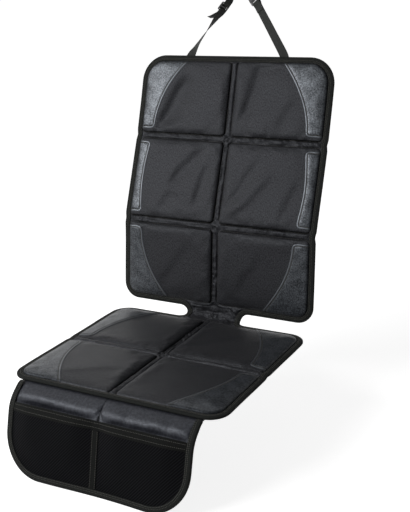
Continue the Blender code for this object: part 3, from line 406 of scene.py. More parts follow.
SLACK_GRID, SLACK_REACH, SLACK_FRAMES = 0.0030, 0.034, 20
SLACK_LOWEST, SLACK_HIGHEST = -0.0025, 0.0050
PAD_EASE, CHANNEL_EASE = 0.02, 0.10
slack_field = []


def settle_slack():
    """Lets the cover's eased cloth buckle by its seams under a little air, and keeps the heights."""
    xs = np.arange(-HALF_WIDTH, HALF_WIDTH + 1e-6, SLACK_GRID)
    ss = np.arange(0.0, S_TOP + 1e-6, SLACK_GRID)
    x, s = (v.ravel() for v in np.meshgrid(xs, ss))
    depth, rim = pad_depth(x, s), gap_to(np.stack([x, s], 1), OUTLINE)
    inside = within(np.stack([x, s], 1), OUTLINE)
    start = puff(depth) + 0.0008 * ramp(-depth, PAD_SLOPE, 0.008)
    points = np.stack([x, s, start], 1)
    index = np.arange(len(x)).reshape(len(ss), len(xs))
    quads = np.stack([index[:-1, :-1], index[:-1, 1:], index[1:, 1:], index[1:, :-1]], 2).reshape(-1, 4)
    quads = quads[(inside & (depth < SLACK_REACH + SLACK_GRID))[quads].all(1)]
    used, quads = np.unique(quads, return_inverse=True)
    depth, rim, start, points = depth[used], rim[used], start[used], points[used]
    mesh = bpy.data.meshes.new("slack")
    mesh.from_pydata(points.tolist(), [], quads.reshape(-1, 4).tolist())
    sheet = bpy.data.objects.new("slack", mesh)
    bpy.context.scene.collection.objects.link(sheet)
    pins = sheet.vertex_groups.new(name="sewn")
    held = (abs(depth + PAD_SLOPE) < SLACK_GRID * 0.6) | (rim < BINDING + 0.002) | (depth > SLACK_REACH)
    pins.add(np.flatnonzero(held).tolist(), 1.0, "REPLACE")
    loose = sheet.vertex_groups.new(name="loose")
    loose.add(np.flatnonzero(depth < -PAD_SLOPE).tolist(), 1.0, "REPLACE")
    cloth = sheet.modifiers.new("cloth", "CLOTH")
    rules = cloth.settings
    rules.vertex_group_mass, rules.vertex_group_shrink = "sewn", "loose"
    rules.quality, rules.mass = 3, 0.15
    rules.tension_stiffness = rules.compression_stiffness = 20.0
    rules.shear_stiffness, rules.bending_stiffness = 5.0, 0.05
    rules.air_damping, rules.shrink_min, rules.shrink_max = 2.0, -PAD_EASE, -CHANNEL_EASE
    rules.use_pressure, rules.uniform_pressure_force = True, 1.0
    rules.effector_weights.gravity = 0.0
    cloth.point_cache.frame_start, cloth.point_cache.frame_end = 1, SLACK_FRAMES
    scene = bpy.context.scene
    for frame_number in range(1, SLACK_FRAMES + 1):
        scene.frame_set(frame_number)
    settled = sheet.evaluated_get(bpy.context.evaluated_depsgraph_get()).to_mesh()
    moved = np.empty(3 * len(used), np.float32)
    settled.vertices.foreach_get("co", moved)
    sheet.evaluated_get(bpy.context.evaluated_depsgraph_get()).to_mesh_clear()
    scene.frame_set(1)
    bpy.data.objects.remove(sheet)
    bpy.data.meshes.remove(mesh)
    height = np.zeros(len(x))
    gained = np.nan_to_num(moved.reshape(-1, 3)[:, 2] - start)
    height[used] = np.clip(gained, SLACK_LOWEST, SLACK_HIGHEST)
    slack_field[:] = [height.reshape(len(ss), len(xs))]


def slack_height(x, s):
    """The kept heights at points of the cut."""
    if not slack_field:
        return np.zeros(np.shape(x))
    field = slack_field[0]
    u, v = (x + HALF_WIDTH) / SLACK_GRID, s / SLACK_GRID
    i = np.clip(np.floor(v).astype(int), 0, field.shape[0] - 2)
    j = np.clip(np.floor(u).astype(int), 0, field.shape[1] - 2)
    a, b = np.clip(v - i, 0, 1), np.clip(u - j, 0, 1)
    low = field[i, j] * (1 - b) + field[i, j + 1] * b
    return low * (1 - a) + (field[i + 1, j] * (1 - b) + field[i + 1, j + 1] * b) * a


def channel_slack(x, s, depth, rim):
    """Loose cloth that stands up in the channels between the pads, with folds along them."""
    beyond = np.maximum(-depth - PAD_SLOPE, 0)
    room = ramp(beyond, 0.0002, 0.0032) * ramp(rim, 0.0112, 0.0165)
    upright = abs(x) < 0.0098
    seat = hump(s, S_CREASE, 0.012) * ~upright
    crest = 0.0026 + 0.0012 * noise(x / 0.022, s / 0.022, 16) + 0.0030 * seat
    lengthwise = np.where(upright, noise(s / 0.045, x / 0.0040, 17), noise(x / 0.045, s / 0.0040, 18))
    ticks = noise((x * 0.8 + s) / 0.007, (s * 0.5 - x) / 0.016, 24)
    ticks *= ramp(noise(x / 0.05, s / 0.05, 25), -0.1, 0.5)
    neck = hump(s, S_FOLD, 0.026)
    streams = noise(x / 0.030, s / 0.0065 + 0.8 * noise(x / 0.04, 1, 26), 19)
    calm = 1 - 0.75 * seat
    slack = room * (crest + calm * (0.0011 * lengthwise + 0.0022 * ticks) + 0.0022 * neck * streams)
    knot = np.max([np.exp(-((x / 0.014) ** 2) - ((s - c) / 0.013) ** 2) for c in CROSSINGS], axis=0)
    return slack + 0.0036 * knot * noise(x / 0.0048, s / 0.0048, 20) * ramp(beyond, 0.0, 0.003)


def cover_rise(x, s):
    """How far the front cover stands off the backing, over the pads and in the channels."""
    x, s = np.asarray(x, float), np.asarray(s, float)
    depth = pad_depth(x, s)
    rim = gap_to(np.stack([x.ravel(), s.ravel()], 1), OUTLINE).reshape(x.shape)
    swell = 0.0006 * noise(x / 0.05, s / 0.05, 14) * ramp(depth, 0.004, 0.03)
    padded, outer = depth > -PAD_SLOPE, 1 - ramp(rim - EDGE_MARGIN - depth, 0.002, 0.030)
    easing = np.where(padded, 0.6 * ramp(-depth, -SLACK_REACH, -0.012), 1.0)
    buckles = slack_height(x, s) * easing
    buckles *= 1 - 0.7 * hump(s, S_CREASE, 0.018) * (abs(x) > 0.014)
    buckles *= 1 - 0.75 * outer * padded
    loose = seam_pulls(x, s, depth) + swell + drag_folds(x, s, depth)
    cloth = (loose + buckles) * ramp(rim, 0.0112, 0.018)
    return puff(depth, outer) + cloth + channel_slack(x, s, depth, rim)


def cut(outline, loops=(), points=()):
    """Triangles of a flat cut that keep to the given loops and points, anticlockwise."""
    corners, edges = [], []
    for loop in [outline, *loops]:
        first, count = len(corners), len(loop)
        corners += [Vector((float(x), float(s))) for x, s in loop]
        edges += [(first + i, first + (i + 1) % count) for i in range(count)]
    corners += [Vector((float(x), float(s))) for x, s in points]
    found = delaunay_2d_cdt(corners, edges, [], 1, 1e-6)
    flat, faces = np.array([tuple(v) for v in found[0]]), np.array([list(f) for f in found[2]])
    a, b, c = (flat[faces[:, k]] for k in range(3))
    turn = (b[:, 0] - a[:, 0]) * (c[:, 1] - a[:, 1]) - (c[:, 0] - a[:, 0]) * (b[:, 1] - a[:, 1])
    faces, turn = faces[abs(turn) > 1e-12], turn[abs(turn) > 1e-12]
    faces[turn < 0] = faces[turn < 0][:, ::-1]
    return flat, faces


def add_piece(name, points, faces, finish, uvs=None, values=None, sharp=40.0):
    """The object made from points and faces, with its cut as a UV map and named point values."""
    mesh = bpy.data.meshes.new(name)
    mesh.from_pydata(np.asarray(points).tolist(), [], [list(f) for f in faces])
    if uvs is not None:
        corners = np.empty(len(mesh.loops), np.int32)
        mesh.loops.foreach_get("vertex_index", corners)
        layer = mesh.uv_layers.new(name="cut")
        layer.data.foreach_set("uv", np.asarray(uvs, np.float32)[corners].ravel())
    for label, numbers in (values or {}).items():
        mesh.attributes.new(label, "FLOAT", "POINT").data.foreach_set(
            "value", np.asarray(numbers, np.float32)
        )
    mesh.shade_smooth()
    mesh.set_sharp_from_angle(angle=math.radians(sharp))
    mesh.materials.append(finish)
    made = bpy.data.objects.new(name, mesh)
    bpy.context.scene.collection.objects.link(made)
    return made


def add_sheet(name, flat, faces, place, low, high, finish, flip=False, values=None):
    """A closed sheet between two heights over a flat cut, bent into place."""
    used = np.unique(faces)
    new = np.full(len(flat), -1)
    new[used] = np.arange(len(used))
    flat, faces = flat[used], new[faces]
    low, high = (np.broadcast_to(v(*flat.T) if callable(v) else v, len(flat)) for v in (low, high))
    count = len(flat)
    points = np.concatenate([place(*flat.T, high), place(*flat.T, low)])
    pairs = np.concatenate([faces[:, [0, 1]], faces[:, [1, 2]], faces[:, [2, 0]]])
    keys, back = pairs[:, 0] * count + pairs[:, 1], pairs[:, 1] * count + pairs[:, 0]
    rim = pairs[~np.isin(keys, back)]
    sides = np.stack([rim[:, 1], rim[:, 0], rim[:, 0] + count, rim[:, 1] + count], axis=1)
    made = [*faces.tolist(), *(faces[:, ::-1] + count).tolist(), *sides.tolist()]
    if flip:
        made = [f[::-1] for f in made]
    values = {k: np.tile(v[used], 2) for k, v in (values or {}).items()}
    return add_piece(name, points, made, finish, np.tile(flat, (2, 1)), values)


def add_sweep(name, rings, closed, finish, uvs=None, sharp=50.0):
    """A body swept through rings of points."""
    count, size = rings.shape[:2]
    index = np.arange(count * size).reshape(count, size)
    first = index if closed else index[:-1]
    second = np.roll(index, -1, 0) if closed else index[1:]
    quads = np.stack([first, np.roll(first, -1, 1), np.roll(second, -1, 1), second], axis=2)
    faces = quads.reshape(-1, 4).tolist()
    if not closed:
        faces += [index[0][::-1].tolist(), index[-1].tolist()]
    points = rings.reshape(-1, 3)
    middle = points[quads.reshape(-1, 4)]
    cross = np.cross(middle[:, 1] - middle[:, 0], middle[:, 3] - middle[:, 0])
    if (middle.mean(1) * cross).sum() < 0:
        faces = [f[::-1] for f in faces]
    return add_piece(name, points, faces, finish, uvs, None, sharp)


def add_stitches(name, rows, finish, thread):
    """Threads in rows of (start points, end points, up directions), joined into one piece."""
    starts, ends, ups = (np.concatenate([np.asarray(row[k]) for row in rows]) for k in range(3))
    ahead = ends - starts
    length = np.linalg.norm(ahead, axis=1)[:, None]
    ahead /= length
    across = np.cross(ups, ahead)
    across /= np.linalg.norm(across, axis=1)[:, None]
    ups = np.cross(ahead, across)
    turn = np.arange(5) * 2 * math.pi / 5
    rim = np.stack([np.cos(turn), np.sin(turn)], axis=1) * thread
    points = [starts[:, None]]
    for share in (0.28, 0.72):
        centre = starts + ahead * length * share + ups * thread * 0.35
        points.append(centre[:, None] + across[:, None] * rim[:, :1] + ups[:, None] * rim[:, 1:])
    points.append(ends[:, None])
    points = np.concatenate(points, axis=1)
    faces = []
    for i in range(5):
        j = (i + 1) % 5
        faces += [[0, 1 + j, 1 + i], [11, 6 + i, 6 + j]]
        faces.append([1 + i, 1 + j, 6 + j, 6 + i])
    every = [[v + 12 * n for v in f] for n in range(len(points)) for f in faces]
    return add_piece(name, points.reshape(-1, 3), every, finish, None, None, 80.0)


def stitch_row(line, closed, place, height, pitch):
    """Start, end and up of each stitch along a flat line, at a height or a function's heights."""
    line = resampled([tuple(p) for p in line], pitch, closed)
    _, ahead = normals(line, closed)
    half = ahead * pitch * STITCH_SHARE / 2

    def put(points, above=0.0):
        rise = height(*points.T) if callable(height) else height
        return place(*points.T, rise + above)

    up = put(line, 0.001) - put(line)
    return put(line - half), put(line + half), up / np.linalg.norm(up, axis=1)[:, None]


class Finish:
    """A material under construction, with short words for its nodes."""

    def __init__(self, name, colour, roughness, **sockets):
        self.made = bpy.data.materials.new(name)
        self.made.use_nodes = True
        self.tree = self.made.node_tree
        self.shader = self.tree.nodes["Principled BSDF"]
        self.shader.inputs["Roughness"].default_value = roughness
        self.shader.inputs["Base Color"].default_value = (*colour, 1)
        for socket, value in sockets.items():
            self.shader.inputs[socket.replace("_", " ")].default_value = value
        self.made.diffuse_color = (*colour, 1)

    def add(self, kind, settings=(), **inputs):
        node = self.tree.nodes.new(kind)
        for key, value in dict(settings).items():
            setattr(node, key, value)
        for key, value in inputs.items():
            socket = node.inputs[int(key[1:]) if key[0] == "_" else key.replace("_", " ")]
            if isinstance(value, bpy.types.NodeSocket):
                self.tree.links.new(value, socket)
            else:
                socket.default_value = value
        return node

    def cut(self, scale=(1, 1, 1), turn=0.0):
        """The piece's own flat cut, in metres, stretched and turned."""
        where = self.add("ShaderNodeUVMap", {"uv_map": "cut"}).outputs["UV"]
        mapped = self.add("ShaderNodeMapping", Vector=where, Scale=scale, Rotation=(0, 0, turn))
        return mapped.outputs["Vector"]

    def place(self):
        """The piece's own place, in metres."""
        return self.add("ShaderNodeTexCoord").outputs["Object"]

    def bands(self, where, period, direction="X"):
        """Even ribs, with their period in metres."""
        wave = self.add(
            "ShaderNodeTexWave", {"bands_direction": direction}, Vector=where,
            Scale=math.pi / 10 / period, Distortion=0.0,
        )
        return wave.outputs["Fac"]

    def weave(self, where, period):
        """The crossings of a plain weave."""
        return self.math("MULTIPLY", self.bands(where, period, "X"), self.bands(where, period, "Y"))

    def noise(self, where, size, detail=2.0, rough=0.5):
        node = self.add("ShaderNodeTexNoise", Vector=where, Scale=1 / size, Detail=detail, Roughness=rough)
        return node.outputs["Fac"]

    def math(self, operation, a, b=0.5):
        return self.add("ShaderNodeMath", {"operation": operation}, _0=a, _1=b).outputs["Value"]

    def spread(self, value, low, high, to_low=0.0, to_high=1.0):
        node = self.add(
            "ShaderNodeMapRange", {"clamp": True}, Value=value, From_Min=low, From_Max=high,
            To_Min=to_low, To_Max=to_high,
        )
        return node.outputs["Result"]

    def blend(self, share, a, b):
        node = self.add("ShaderNodeMix", {"data_type": "RGBA"}, _0=share)
        for index, value in ((6, a), (7, b)):
            if isinstance(value, bpy.types.NodeSocket):
                self.tree.links.new(value, node.inputs[index])
            else:
                node.inputs[index].default_value = (*value, 1)
        return node.outputs[2]

    def value(self, name):
        return self.add("ShaderNodeAttribute", {"attribute_name": name}).outputs["Fac"]

    def bump(self, height, depth, strength=1.0, under=None):
        node = self.add("ShaderNodeBump", Height=height, Distance=depth, Strength=strength)
        if under is not None:
            self.tree.links.new(under, node.inputs["Normal"])
        return node.outputs["Normal"]

    def set(self, **inputs):
        for key, value in inputs.items():
            self.tree.links.new(value, self.shader.inputs[key.replace("_", " ")])
        return self.made


def lighter(colour, factor):
    return tuple(min(1.0, c * factor) for c in colour)


def oxford_cloth(colours):
    """Coated 600 denier polyester: a plain weave with a dull shine, faint slubs and painted shade along the
    pads' seams.
    """
    base = tuple(colours.cloth)
    f = Finish(
        "black_oxford_cloth", base, 0.40, Sheen_Weight=0.03, Sheen_Roughness=0.35,
        Specular_Tint=(0.88, 0.92, 1.0, 1.0),
    )
    where = f.cut()
    weave = f.weave(where, 0.0011)
    slub = f.noise(f.cut((1, 0.3, 1)), 0.0012, 2)
    mottle = f.noise(where, 0.0030, 3, 0.65)
    tone = f.math("ADD", f.math("MULTIPLY", slub, 0.5), f.math("MULTIPLY", mottle, 0.5))
    colour = f.blend(f.spread(tone, 0.35, 0.65), lighter(base, 0.6), lighter(base, 1.5))
    # Painted shade: where the cover's "seam" value is high, the colour drops to a tenth and the shine to a
    # tenth, standing in for shade along the seams.
    seam = f.spread(f.value("seam"), 0.15, 0.9)
    colour = f.blend(seam, colour, lighter(base, 0.1))
    shine = f.math("MULTIPLY", f.spread(tone, 0.38, 0.62, 0.05, 0.23), f.spread(seam, 0, 1, 1.0, 0.1))
    normal = f.bump(weave, 0.00022, 0.8, f.bump(mottle, 0.0004, 0.35))
    rough = f.spread(slub, 0.3, 0.7, 0.37, 0.44)
    return f.set(Base_Color=colour, Roughness=rough, Specular_IOR_Level=shine, Normal=normal)


def satin_cloth(colours):
    """The flap's band: a smoother weave with a satin shine and painted shade in the centre split."""
    base = tuple(colours.satin)
    f = Finish("black_satin_cloth", base, 0.4, Specular_Tint=(0.85, 0.9, 1.0, 1.0))
    where = f.cut()
    mottle = f.noise(where, 0.005, 3)
    colour = f.blend(f.spread(mottle, 0.4, 0.6), lighter(base, 0.8), lighter(base, 1.25))
    # Painted shade: the band's "seam" value darkens the colour to a tenth and nearly removes the shine in
    # the crease where the two bulges meet.
    seam = f.spread(f.value("seam"), 0.15, 0.9)
    shine = f.math("MULTIPLY", f.spread(mottle, 0.4, 0.6, 0.22, 0.31), f.spread(seam, 0, 1, 1.0, 0.05))
    normal = f.bump(f.weave(where, 0.0009), 0.00015, 0.7, f.bump(mottle, 0.0006, 0.3))
    colour = f.blend(seam, colour, lighter(base, 0.1))
    return f.set(Base_Color=colour, Specular_IOR_Level=shine, Normal=normal)


def grained_leather(colours):
    """Grey patch cloth: a mottled, speckled grain, a smooth border and a dark sewn groove."""
    base = tuple(colours.patch)
    f = Finish("grey_grained_leather", base, 0.37, Specular_Tint=(0.86, 0.92, 1.0, 1.0))
    where = f.cut()
    cells = f.add("ShaderNodeTexVoronoi", Vector=where, Scale=1 / 0.0017).outputs["Distance"]
    speckle = f.noise(where, 0.0034, 3, 0.75)
    cloud = f.noise(where, 0.022, 2)
    gap = f.value("from_edge")
    border = f.spread(gap, PATCH_STITCH - 0.0008, PATCH_STITCH, 1.0, 0.0)
    away = f.math("ABSOLUTE", f.math("SUBTRACT", gap, PATCH_STITCH))
    groove = f.spread(away, 0.0004, 0.0012, 1.0, 0.0)
    grain = f.math("ADD", speckle, f.math("MULTIPLY", cells, 0.25))
    grain = f.math("ADD", grain, f.math("MULTIPLY", cloud, 0.35))
    tone = f.spread(grain, 0.66, 0.96)
    ground = f.blend(tone, lighter(base, 0.35), lighter(base, 1.7))
    colour = f.blend(border, ground, lighter(base, 1.5))
    colour = f.blend(groove, colour, (0.012, 0.010, 0.007))
    shine = f.math("MAXIMUM", f.spread(tone, 0, 1, 0.16, 0.66), f.math("MULTIPLY", border, 0.66))
    shine = f.math("MULTIPLY", shine, f.spread(groove, 0, 1, 1.0, 0.1))
    shine = f.math("MULTIPLY", shine, f.spread(f.value("from_tape"), 0.001, 0.007, 0.15, 1.0))
    rough = f.spread(border, 0, 1, 0.38, 0.37)
    return f.set(
        Base_Color=colour, Roughness=rough, Specular_IOR_Level=shine,
        Normal=f.bump(f.math("ADD", cells, speckle), 0.0003, 0.5),
    )


def edge_tape(colours):
    """Matt woven tape with fine cross ribs."""
    base = tuple(colours.tape)
    f = Finish("black_edge_tape", base, 0.75, Specular_IOR_Level=0.06)
    where = f.cut()
    ribs = f.bands(where, 0.0013, "Y")
    cords = f.bands(where, 0.0007, "X")
    fuzz = f.noise(f.place(), 0.002, 3)
    colour = f.blend(f.spread(fuzz, 0.3, 0.7), lighter(base, 0.75), lighter(base, 1.3))
    normal = f.bump(ribs, 0.00025, 0.8, f.bump(cords, 0.0001, 0.5))
    return f.set(Base_Color=colour, Normal=normal)


def shaded_hem_tape_cloth(colours):
    """The net's own tapes: a smoother weave than the edge tape, in its colour painted darker as shade
    because they face down, away from the light.
    """
    # Painted shade: the edge tape's colour at 0.55, a shaded copy for the tapes on the downward-facing net.
    base = lighter(tuple(colours.tape), 0.55)
    f = Finish("black_hem_tape", base, 0.7, Specular_IOR_Level=0.04)
    ribs = f.bands(f.cut(), 0.0010, "Y")
    fuzz = f.noise(f.place(), 0.002, 3)
    colour = f.blend(f.spread(fuzz, 0.35, 0.65), lighter(base, 0.75), lighter(base, 1.3))
    return f.set(Base_Color=colour, Normal=f.bump(ribs, 0.0002, 0.7))


def strap_webbing(colours):
    """Flat woven webbing: ribs along it and a chevron across them."""
    base = tuple(colours.webbing)
    f = Finish("black_webbing", base, 0.6, Specular_IOR_Level=0.15)
    where = f.cut()
    ribs = f.bands(where, 0.0015, "X")
    picks = f.bands(f.cut(turn=0.6), 0.0011, "Y")
    fuzz = f.noise(f.place(), 0.003, 3)
    colour = f.blend(f.spread(fuzz, 0.3, 0.7), lighter(base, 0.8), lighter(base, 1.3))
    normal = f.bump(ribs, 0.0003, 0.8, f.bump(picks, 0.0002, 0.7))
    return f.set(Base_Color=colour, Normal=normal)


def pocket_net(colours):
    """Fine black net: diagonal threads that catch the light over dark holes."""
    base = tuple(colours.net)
    f = Finish("black_pocket_net", base, 0.55)
    rising, falling = f.cut(turn=-0.75), f.cut(turn=0.75)
    one = f.bands(rising, 0.0042)
    fine = f.math("MAXIMUM", f.bands(falling, 0.0014), f.bands(rising, 0.0014))
    thread = f.math("MULTIPLY", f.spread(one, 0.35, 0.9, 0.25, 1.0), f.spread(fine, 0.4, 0.8, 0.5, 1.0))
    colour = f.blend(thread, lighter(base, 0.2), lighter(base, 2.2))
    shine = f.spread(thread, 0, 1, 0.0, 0.06)
    return f.set(Base_Color=colour, Specular_IOR_Level=shine, Normal=f.bump(thread, 0.0004, 0.8))


def anti_slip_cloth(colours):
    """Backing cloth with rows of soft rubber dots."""
    base = tuple(colours.backing)
    f = Finish("anti_slip_cloth", base, 0.8)
    where = f.cut()
    dots = f.add(
        "ShaderNodeTexVoronoi", {"feature": "F1"}, Vector=where, Scale=1 / 0.006, Randomness=0.0
    ).outputs["Distance"]
    dot = f.spread(dots, 0.2, 0.3, 1.0, 0.0)
    colour = f.blend(dot, base, lighter(base, 0.45))
    rough = f.spread(dot, 0, 1, 0.85, 0.45)
    normal = f.bump(dot, 0.0007, 0.9, f.bump(f.weave(where, 0.0012), 0.0002))
    return f.set(Base_Color=colour, Roughness=rough, Normal=normal)


def foam_skin(colours):
    base = tuple(colours.foam)
    f = Finish("grey_foam", base, 0.95)
    cells = f.add("ShaderNodeTexVoronoi", Vector=f.place(), Scale=1 / 0.0012).outputs["Distance"]
    colour = f.blend(f.spread(cells, 0.2, 0.7), lighter(base, 0.7), lighter(base, 1.15))
    return f.set(Base_Color=colour, Normal=f.bump(cells, 0.0005, 0.8))


def sewing_thread(colours):
    base = tuple(colours.thread)
    f = Finish("sewing_thread", base, 0.55)
    twist = f.bands(f.place(), 0.0009, "DIAGONAL")
    colour = f.blend(twist, lighter(base, 0.7), lighter(base, 1.3))
    return f.set(Base_Color=colour, Normal=f.bump(twist, 0.0001, 0.6))


def buckle_plastic(colours):
    """Moulded acetal: fine spark texture, a little shinier where it is rubbed."""
    base = tuple(colours.plastic)
    f = Finish("black_buckle_plastic", base, 0.4)
    spark = f.noise(f.place(), 0.0006, 3, 0.7)
    rub = f.noise(f.place(), 0.012, 2)
    colour = f.blend(f.spread(rub, 0.4, 0.6), lighter(base, 0.9), lighter(base, 1.2))
    rough = f.spread(rub, 0.35, 0.65, 0.32, 0.5)
    return f.set(Base_Color=colour, Roughness=rough, Normal=f.bump(spark, 0.00008, 0.8))


# "hem" is the edge tape's colour painted darker as shade, for the net's tapes.
FINISHES = {
    "oxford": oxford_cloth, "satin": satin_cloth, "patch": grained_leather, "tape": edge_tape,
    "webbing": strap_webbing, "net": pocket_net, "backing": anti_slip_cloth, "foam": foam_skin,
    "thread": sewing_thread, "plastic": buckle_plastic, "hem": shaded_hem_tape_cloth,
}
made_finishes = {}


def finish_for(kind):
    if kind not in made_finishes:
        made_finishes[kind] = FINISHES[kind](bpy.context.scene.mat_colours)
    return made_finishes[kind]


def settle(piece, kind, *nodes):
    """Rides a piece on the mat's one body and hides the plain solids it stands for."""
    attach(piece, "root")
    if nodes:
        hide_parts(*nodes)


def sew(name, rows):
    """Sews rows of stitches and keeps them as one piece."""
    thread = bpy.context.scene.mat_sewing.thread_width
    settle(add_stitches(name, rows, finish_for("thread"), thread), "thread")


def inset(loop, distance):
    """A loop that turns left, drawn in by a distance."""
    line = np.asarray(loop, float)
    right, _ = normals(line)
    return line - right * distance


def rounded(corner, before, after, radius, steps=5):
    c, a, b = (np.array(v, float) for v in (corner, before, after))
    a = c + (a - c) / np.linalg.norm(a - c) * radius
    b = c + (b - c) / np.linalg.norm(b - c) * radius
    shares = np.linspace(0, 1, steps + 1)
    return [tuple(a * (1 - u) ** 2 + c * 2 * u * (1 - u) + b * u * u) for u in shares]


PATCH_SIDE = HALF_WIDTH - BINDING - CLEARANCE


def corner_patch(crease, edge, edge_radius):
    """A patch that is narrow beside a crease and sweeps out along the mat's end edge."""
    up = 1 if edge > crease else -1
    start, end = crease + up * PATCH_MARGIN, edge - up * (BINDING + CLEARANCE)
    radius, narrow = edge_radius - BINDING - CLEARANCE, HALF_WIDTH - PATCH_NARROW
    sweep = []
    for v in np.linspace(1 / 7, 1, 13):
        sweep.append((narrow - (PATCH_WIDE - PATCH_NARROW) * v * v, start + (end - start) * v))
    low = rounded((narrow, start), (PATCH_SIDE, start), sweep[0], PATCH_RADIUS)
    turn = arc(PATCH_SIDE - radius, end - up * radius, radius, 90 * up, 0, 10)
    return [(PATCH_SIDE, start), *low, *sweep, *turn], len(low) + len(sweep)


def strip_patch(low, high):
    """The upright strip patch beside the backrest's middle row."""
    a, b, inner = low + PATCH_MARGIN, high - PATCH_MARGIN, HALF_WIDTH - PATCH_STRIP
    middle = [
        (inner + PATCH_WAIST * math.sin(math.pi * v), a + (b - a) * v) for v in np.linspace(0.12, 0.88, 9)
    ]
    bottom = rounded((inner, a), (PATCH_SIDE, a), middle[0], PATCH_RADIUS)
    top = rounded((inner, b), middle[-1], (PATCH_SIDE, b), PATCH_RADIUS)
    sewn = [*bottom, *middle, *top]
    return [(PATCH_SIDE, a), *sewn, (PATCH_SIDE, b)], len(sewn) + 1


def patches():
    """Each patch's name, its outline and how many of its points follow the sewn inner edge."""
    shapes = [
        ("seat_front", corner_patch(S_CREASE, 0.0, SEAT_RADIUS)),
        ("seat_rear", corner_patch(S_CREASE, S_FOLD - NOTCH, SEAT_RADIUS)),
        ("backrest_low", corner_patch(S_LOW, S_FOLD + NOTCH, LOW_RADIUS)),
        ("backrest_middle", strip_patch(S_LOW, S_MID)),
        ("backrest_top", corner_patch(S_MID, S_TOP, TOP_RADIUS)),
    ]
    for name, (loop, sewn) in shapes:
        for word, side in (("right", 1), ("left", -1)):
            yield f"patch_{name}_{word}", [(x * side, s) for x, s in loop], sewn + 1


def cover_top(x, s):
    return COVER_TOP + cover_rise(x, s)


def patch_face(x, s):
    """Where the patches' stitches lie, a little sunk into the patch."""
    return cover_top(x, s) + CLEARANCE + PATCH - 0.0004


def patch_top(gap):
    """The patch's height over the cover at a distance from its sewn edge."""
    edge = PATCH * ramp(gap, -0.0004, 0.0010) - 0.0007 * hump(gap, PATCH_STITCH, 0.0009)
    return CLEARANCE + edge + 0.0004 * ramp(gap, PATCH_STITCH, 0.012)


def tape_section(low, high):
    """A folded tape's section, as distances out from the edge and heights."""
    th, w = TAPE, BINDING
    outer = [
        (-w, high + 0.35 * th), (-w + 0.0007, high + 0.95 * th), (-0.0072, high + 1.18 * th),
        (-0.0040, high + 1.12 * th), (-0.0012, high + th), (0.0004, high + 0.72 * th),
        (0.0013, high - 0.2 * th), (0.0014, (low + high) / 2), (0.0012, low + 0.1 * th),
        (0.0003, low - 0.75 * th), (-0.0012, low - th), (-0.0060, low - th),
        (-w + 0.0007, low - 0.9 * th), (-w, low - 0.4 * th),
    ]
    inner = [
        (-w + 0.0004, low - 0.02 * th), (-0.0060, low), (0.0002, low), (0.0004, (low + high) / 2),
        (0.0002, high), (-0.0060, high), (-w + 0.0004, high + 0.02 * th),
    ]
    return np.array(outer + inner)


def add_tape(name, line, closed, place, bottom, top):
    """A tape folded over an edge, swept along the edge's own line."""
    right, _ = normals(line, closed)
    rings, uvs = [], []
    for (x, s), out, along in zip(line, right, walked(line)):
        section = tape_section(bottom - CLEARANCE, top + CLEARANCE)
        section[:5, 1] += TAPE_WAVE * (0.5 + 0.5 * float(noise(along / 0.012, 3, 31)))
        d, t = section.T
        rings.append(place(x + out[0] * d, s + out[1] * d, t))
        uvs.append(np.stack([walked(section), np.full(len(d), along)], axis=1))
    uvs = np.array(uvs).reshape(-1, 2)
    return add_sweep(name, np.array(rings), closed, finish_for("tape"), uvs)


class MatColours(bpy.types.PropertyGroup):
    """The colours of the mat's cloths, tapes and plastic."""

    cloth: FloatVectorProperty(
        name="Cover cloth", description="Oxford cloth of the cover", subtype="COLOR",
        size=3, default=(0.0094, 0.0095, 0.0108),
    )
    satin: FloatVectorProperty(
        name="Band cloth", description="Cloth of the flap's stuffed band", subtype="COLOR",
        size=3, default=(0.0105, 0.011, 0.014),
    )
    patch: FloatVectorProperty(
        name="Patches", description="Grained cloth of the wear patches", subtype="COLOR",
        size=3, default=(0.0118, 0.0130, 0.0150),
    )
    tape: FloatVectorProperty(
        name="Edge tape", description="Tape folded over the edges", subtype="COLOR",
        size=3, default=(0.0105, 0.0112, 0.0105),
    )
    webbing: FloatVectorProperty(
        name="Webbing", description="Webbing of the straps", subtype="COLOR",
        size=3, default=(0.013, 0.014, 0.013),
    )
    net: FloatVectorProperty(
        name="Net", description="Net of the pockets", subtype="COLOR",
        size=3, default=(0.0024, 0.0025, 0.003),
    )
    backing: FloatVectorProperty(
        name="Backing", description="Anti-slip backing cloth", subtype="COLOR",
        size=3, default=(0.022, 0.022, 0.024),
    )
    foam: FloatVectorProperty(
        name="Foam", description="Foam inside the pads", subtype="COLOR",
        size=3, default=(0.25, 0.25, 0.26),
    )
    thread: FloatVectorProperty(
        name="Thread", description="Sewing thread", subtype="COLOR",
        size=3, default=(0.040, 0.038, 0.031),
    )
    plastic: FloatVectorProperty(
        name="Plastic", description="Slider and buckle", subtype="COLOR",
        size=3, default=(0.014, 0.014, 0.015),
    )


class MatSewing(bpy.types.PropertyGroup):
    """The sizes of the mat's stitching and mesh."""

    stitch_pitch: FloatProperty(
        name="Stitch pitch", description="Distance from one stitch to the next",
        default=0.0034, min=0.001, unit="LENGTH",
    )
    thread_width: FloatProperty(
        name="Thread", description="Radius of the sewing thread",
        default=0.00042, min=0.0001, unit="LENGTH",
    )


class StudioSettings(bpy.types.PropertyGroup):
    """The studio's lamps and camera."""

    key_power: FloatProperty(
        name="Key", description="Power of the large lamp at the front left",
        default=76.0, unit="POWER",
    )
    back_power: FloatProperty(
        name="Back", description="Power of the lamp behind at the left",
        default=3.0, unit="POWER",
    )
    world_strength: FloatProperty(
        name="Room", description="Strength of the room's even light",
        default=0.10, min=0.0,
    )
    lens: FloatProperty(
        name="Lens", description="The camera's focal length",
        default=64.85, min=1.0, unit="CAMERA",
    )


